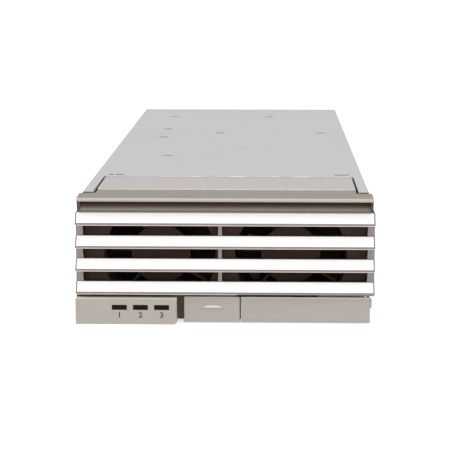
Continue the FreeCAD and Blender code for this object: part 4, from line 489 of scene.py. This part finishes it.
def silver_lacquer():
    """Silver lacquer on ABS: warm grey, with painted shade on level tops and a near-white painted
    reflection on the blades.
    """
    material, tree, shader, place = new_finish("silver_lacquer_on_abs")
    where, facing, sideways = read_surface(tree, place)
    width = add_node(tree, "ShaderNodeMath", {"operation": "ABSOLUTE"}, {0: where["X"]}).outputs[0]
    cloud = add_node(tree, "ShaderNodeTexNoise", {"Scale": 1 / LACQUER_CLOUD, "Detail": 2.0},
                     {"Vector": place}).outputs["Fac"]
    tone = add_node(tree, "ShaderNodeMix",
                    {"data_type": "RGBA", 6: linear("A9A29A"), 7: linear("B0A9A1")},
                    {0: cloud}).outputs[2]

    # The lip: painted shade on its level top, and a painted highlight on its front, strongest along
    # its upper edge
    tone = coat(tree, tone, "877F6F", (facing["Z"], *TURNED_LEVEL), (where["Z"], *LIP_LEVEL))
    lip_face = zone(tree, (facing["Y"], *LIP_FRONT), (where["Z"], *LIP_FACE))
    tone = coat(tree, tone, "AFA79E", lip_face)
    tone = coat(tree, tone, "C3BAB0", lip_face, (where["Z"], *LIP_HIGHLIGHT))

    # The panels: painted highlights on the upper edges and on the thumb ridge of the latch
    panels = zone(tree, (where["Z"], *PANEL_TOP))
    tone = coat(tree, tone, "FBF4E8", panels, (facing["Z"], *TURNED_UP), (where["Z"], *PANEL_EDGE))
    tone = coat(tree, tone, "DDD6CC", panels, (where["Y"], *RIDGE_FRONT),
                (where["X"], *RIDGE_START), (where["Z"], *RIDGE_BASE))

    # The louvre: painted shade on the posts, at the feet of the blades and at their ends, a pale
    # painted light under the blades, and a near-white painted reflection of the overhead light on
    # the leaning faces
    louvre = zone(tree, (where["Z"], *LOUVRE_BASE), (where["Z"], *LOUVRE_TOP))
    tone = coat(tree, tone, "8E8683", louvre)
    tone = coat(tree, tone, "F2E7E2", louvre, (facing["Z"], *TURNED_DOWN))
    tone = coat(tree, tone, "8C837E", louvre, (where["Y"], *BLADE_FOOT))
    leaning = zone(tree, louvre, (facing["Z"], *LEANING_UP))
    tone = coat(tree, tone, "6A6360", leaning, (width, *BLADE_END))
    tone = coat(tree, tone, "FFFFFE", leaning, (facing["Y"], *LEANING_FRONT),
                (width, *WHITE_END), (where["Y"], *WHITE_FOOT))

    # Painted shade along the gap over the handle, at the foot of the last blade: darkest up to the
    # hinge, lighter at the hinge where the gap closes
    at_hinge = zone(tree, (where["X"], *HINGE_START))
    gap_shade = zone(tree, (where["Z"], *GAP_SHADE_TOP), (where["Z"], *GAP_SHADE_BASE),
                     (where["X"], *HANDLE_START))
    tone = coat(tree, tone, "6E6660", gap_shade)
    tone = coat(tree, tone, "3A3029", gap_shade, (at_hinge, *INVERSE))
    outer = zone(tree, (sideways, *TURNED_SIDE), (width, *OUTER_SIDE))
    tone = coat(tree, tone, "ADA9A2", outer)

    # Where the spray doesn't reach, the black ABS shows, and this tone also carries painted shade:
    # in the cove, dark under the lip and lighter towards its foot, with a paler painted line along
    # the foot and dark ends; and on the walls behind the panels, darkest in the gap above them,
    # with a painted light at the hinge where that gap closes
    in_cove = zone(tree, (where["Z"], *COVE_BASE), (where["Z"], *COVE_TOP))
    bare_and_shade_tone = add_node(tree, "ShaderNodeMix",
                    {"data_type": "RGBA", 6: linear("46342E"), 7: linear("3D3025")},
                    {0: in_cove}).outputs[2]
    cove_shade_ramp = zone(tree, (where["Z"], *COVE_SHADE_RAMP))
    bare_and_shade_tone = coat(tree, bare_and_shade_tone, "FFF4E6", in_cove, cove_shade_ramp, cove_shade_ramp, cove_shade_ramp, cove_shade_ramp)
    bare_and_shade_tone = coat(tree, bare_and_shade_tone, "D6C7BC", in_cove, (where["Z"], *COVE_FOOT))
    bare_and_shade_tone = coat(tree, bare_and_shade_tone, "433831", in_cove, (facing["Y"], *CHEEK_FRONT), (width, *COVE_CHEEK))
    bare_and_shade_tone = coat(tree, bare_and_shade_tone, "746659", panels)
    gap_wall = zone(tree, panels, (where["Z"], *GAP_BASE), (where["Y"], *GAP_DEPTH))
    bare_and_shade_tone = coat(tree, bare_and_shade_tone, "433831", gap_wall)
    bare_and_shade_tone = coat(tree, bare_and_shade_tone, "F6EDE3", gap_wall, at_hinge)

    deep = zone(tree, (where["Y"], *BARE_SHADE_DEPTH), (where["Z"], *BARE_SHADE_TOP))
    bare_and_shade_zone = in_cove
    for other in (deep, gap_wall):
        bare_and_shade_zone = add_node(tree, "ShaderNodeMath", {"operation": "MAXIMUM"},
                          {0: bare_and_shade_zone, 1: other}).outputs[0]
    bare_and_shade_zone = zone(tree, bare_and_shade_zone, (outer, *INVERSE))
    tone = add_node(tree, "ShaderNodeMix", {"data_type": "RGBA"}, {0: bare_and_shade_zone, 6: tone, 7: bare_and_shade_tone})

    # Lacquer flakes are under 0.05 mm: drawn near 0.25 mm so that they show
    flake = add_node(tree, "ShaderNodeTexNoise", {"Scale": 1 / LACQUER_FLAKE, "Detail": 2.0},
                     {"Vector": place}).outputs["Fac"]
    bump = add_node(tree, "ShaderNodeBump", {"Strength": 0.06, "Distance": 0.02 * MM},
                    {"Height": flake})
    # The bare ABS, and the painted shade that goes with it, are duller than the lacquer
    sheen = add_node(tree, "ShaderNodeMapRange", {"To Min": 0.5, "To Max": 0.1}, {"Value": bare_and_shade_zone})
    close_finish(tree, shader, {"Base Color": tone.outputs[2], "Normal": bump.outputs["Normal"],
                                "Specular IOR Level": sheen.outputs["Result"]}, {"Roughness": 0.45})
    return material


dress(silver_lacquer(), "front_bezel", "latch_slider", "ejector_handle")
soften(BEZEL_SOFT, "front_bezel")
soften(PANEL_SOFT, "latch_slider", "ejector_handle")

# Latch spring
# A strip of spring steel bent to a V. One end stands on a post of the moulding and the other
# pushes the latch to the right, so the strip closes a little when the latch slides.
LEAF_THICK = 0.3 * MM
END_ROOM = 0.15 * MM
BEND_RADIUS = 0.5 * MM
BEND_STEPS = 6
spring_low, spring_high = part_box("latch_spring")


def bent_leaf():
    """The V of the spring, rounded at its bend, as a sheet with a thickness."""
    leaf = bmesh.new()
    middle = (spring_low.x + spring_high.x) / 2
    # The ends lean, so their thickness needs a little room
    profile = ((spring_low.x + END_ROOM, spring_high.y), (middle, spring_low.y + LEAF_THICK),
               (spring_high.x - END_ROOM, spring_high.y))
    foot = [leaf.verts.new((along, depth, spring_low.z)) for along, depth in profile]
    edges = [leaf.edges.new(pair) for pair in zip(foot, foot[1:])]
    raised = bmesh.ops.extrude_edge_only(leaf, edges=edges)["geom"]
    bmesh.ops.translate(leaf, vec=(0, 0, spring_high.z - spring_low.z),
                        verts=[item for item in raised if isinstance(item, bmesh.types.BMVert)])
    bend = [edge for edge in leaf.edges
            if all(abs(vert.co.x - middle) < LEAF_THICK / 10 for vert in edge.verts)]
    bmesh.ops.bevel(leaf, geom=bend, offset=BEND_RADIUS, offset_type="OFFSET",
                    segments=BEND_STEPS, profile=0.5, affect="EDGES", material=-1)
    bmesh.ops.recalc_face_normals(leaf, faces=leaf.faces)
    bmesh.ops.solidify(leaf, geom=leaf.faces[:], thickness=-LEAF_THICK)
    bmesh.ops.recalc_face_normals(leaf, faces=leaf.faces)
    return leaf


leaf_spring = add_piece("latch_leaf", bent_leaf(), plated_steel, "plated_steel", "latch_spring")
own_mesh(leaf_spring)

# Indicator windows and lamps
# Light pipes moulded in dark smoked acrylic, flush with the panel, with a white lamp behind each.
ACRYLIC_CLOUD = 2 * MM


def smoked_acrylic():
    """Dark brown acrylic, polished by its mould: near black, with little to mirror."""
    material, tree, shader, place = new_finish("smoked_acrylic")
    cloud = add_node(tree, "ShaderNodeTexNoise", {"Scale": 1 / ACRYLIC_CLOUD, "Detail": 2.0},
                     {"Vector": place}).outputs["Fac"]
    tone = add_node(tree, "ShaderNodeMix",
                    {"data_type": "RGBA", 6: linear("0C0706"), 7: linear("140D0B")}, {0: cloud})
    close_finish(tree, shader, {"Base Color": tone.outputs[2]},
                 {"Roughness": 0.4, "Specular IOR Level": 0.08, "IOR": 1.49})
    return material


dress(smoked_acrylic(), "indicator_windows")
# Cast epoxy of the lamps is a milky white with a soft gloss
dress(mottled("lamp_epoxy", "DDE2CF", "E8ECDD", 0.6, (0.25, 0.35)), "indicator_lamps")

# Figures under the windows
# Pad-printed in dark blue ink, one plain figure under each window. The ink lies on the lacquer
# in a thin matt layer.
INK_PROUD = 0.02 * MM
INK_BOLD = 0.07 * MM
FIGURE_HEIGHT = 1.9 * MM
FIGURE_DROP = 2.65 * MM
FONT_PER_FIGURE = 1.4
WINDOW_WIDTH = 5.0 * MM
WINDOW_COUNT = 3
RIM = 0.6 * MM
window_low, window_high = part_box("indicator_windows")
printing_ink = mottled("dark_blue_ink", "2F3759", "3D4466", 0.5, (0.55, 0.7))


def printed_figure(text, middle, level):
    """A flat figure on the face of the panel, read from the front."""
    curve = bpy.data.curves.new(f"figure_{text}", "FONT")
    curve.body = text
    curve.size = FIGURE_HEIGHT * FONT_PER_FIGURE
    curve.align_x = "CENTER"
    curve.align_y = "CENTER"
    curve.extrude = INK_PROUD
    curve.offset = INK_BOLD
    writer = bpy.data.objects.new(f"writer_{text}", curve)
    scene.collection.objects.link(writer)
    finished = writer.evaluated_get(bpy.context.evaluated_depsgraph_get())
    shape = bmesh.new()
    shape.from_mesh(bpy.data.meshes.new_from_object(finished))
    bpy.data.objects.remove(writer)
    bmesh.ops.remove_doubles(shape, verts=shape.verts, dist=MERGE_REACH)
    bmesh.ops.recalc_face_normals(shape, faces=shape.faces)
    upright = Matrix.Rotation(math.pi / 2, 4, "X")
    bmesh.ops.transform(shape, verts=shape.verts,
                        matrix=Matrix.Translation((middle, window_low.y, level)) @ upright)
    add_piece(f"figure_{text}", shape, printing_ink, "smoked_window")


first_middle = window_low.x + RIM + WINDOW_WIDTH / 2
last_middle = window_high.x - RIM - WINDOW_WIDTH / 2
figure_step = (last_middle - first_middle) / (WINDOW_COUNT - 1)
figure_level = (window_low.z + window_high.z) / 2 - FIGURE_DROP
for index in range(WINDOW_COUNT):
    printed_figure(str(index + 1), first_middle + figure_step * index, figure_level)

# Stage, light and camera
# A white floor, a large soft lamp above, a low one in front, and an even pale surround. The camera
# stands before the front, a little to the right, and looks slightly down.
FLOOR_HALF = 6.0
FLOOR_LIFT = 0.6
SURROUND_LEVEL = 0.45
CAMERA_PLACE = (14.37 * MM, -699.52 * MM, 123.07 * MM)
CAMERA_DOWN = 9.361
CAMERA_LEFT = 1.510
CAMERA_REACH = 50.0
FOCAL_PIXELS = 1664.1
PICTURE_PIXELS = 450
SENSOR = 36.0

ground = bmesh.new()
bmesh.ops.create_grid(ground, x_segments=1, y_segments=1, size=FLOOR_HALF)
floor_mesh = bpy.data.meshes.new("floor")
ground.to_mesh(floor_mesh)
ground.free()
floor = bpy.data.objects.new("floor", floor_mesh)
scene.collection.objects.link(floor)


def lifted_white(tree, strength):
    """A strength that holds for the camera, for reflections and through glass."""
    path = add_node(tree, "ShaderNodeLightPath").outputs
    seen = path["Is Camera Ray"]
    for ray in ("Is Glossy Ray", "Is Transmission Ray"):
        seen = add_node(tree, "ShaderNodeMath", {"operation": "MAXIMUM"},
                        {0: seen, 1: path[ray]}).outputs[0]
    return add_node(tree, "ShaderNodeMath", {"operation": "MULTIPLY", 1: strength},
                    {0: seen}).outputs[0]


def white_paper():
    """Matt white paper, lifted to plain white for the camera and for reflections."""
    material, tree, shader, _ = new_finish("white_paper")
    close_finish(tree, shader, {"Emission Strength": lifted_white(tree, FLOOR_LIFT)},
                 {"Base Color": linear("F4F4F4"), "Roughness": 0.9, "Specular IOR Level": 0.1,
                  "Emission Color": linear("FFFFFF")})
    return material


floor_mesh.materials.append(white_paper())

world = bpy.data.worlds.new("surround")
scene.world = world
world.use_nodes = True
surround = world.node_tree.nodes["Background"]
lift = lifted_white(world.node_tree, 1.0 - SURROUND_LEVEL)
level = add_node(world.node_tree, "ShaderNodeMath", {"operation": "ADD", 1: SURROUND_LEVEL},
                 {0: lift})
close_finish(world.node_tree, surround, {"Strength": level.outputs[0]}, {"Color": linear("FFFFFF")})


def soft_lamp(name, place, target, width, depth, watts):
    """A rectangular soft lamp aimed at a point."""
    lamp = bpy.data.lights.new(name, "AREA")
    lamp.shape = "RECTANGLE"
    lamp.size = width
    lamp.size_y = depth
    lamp.energy = watts
    lamp_object = bpy.data.objects.new(name, lamp)
    lamp_object.location = place
    aim = Vector(target) - Vector(place)
    lamp_object.rotation_euler = aim.to_track_quat("-Z", "Y").to_euler()
    scene.collection.objects.link(lamp_object)


soft_lamp("key_lamp", place=(-0.15, -0.6, 1.1), target=(0, 0, 0.02), width=1.4, depth=1.0,
          watts=7.1)
soft_lamp("front_lamp", place=(0.1, -1.2, 0.22), target=(0, -0.15, 0.02), width=0.9, depth=0.4,
          watts=3.75)

camera_data = bpy.data.cameras.new("camera")
camera_data.sensor_width = SENSOR
camera_data.lens = SENSOR * FOCAL_PIXELS / PICTURE_PIXELS
camera_data.clip_end = CAMERA_REACH
camera = bpy.data.objects.new("camera", camera_data)
camera.location = CAMERA_PLACE
camera.rotation_euler = (math.radians(90 - CAMERA_DOWN), 0, math.radians(CAMERA_LEFT))
scene.collection.objects.link(camera)
scene.camera = camera
scene.view_settings.view_transform = "Standard"
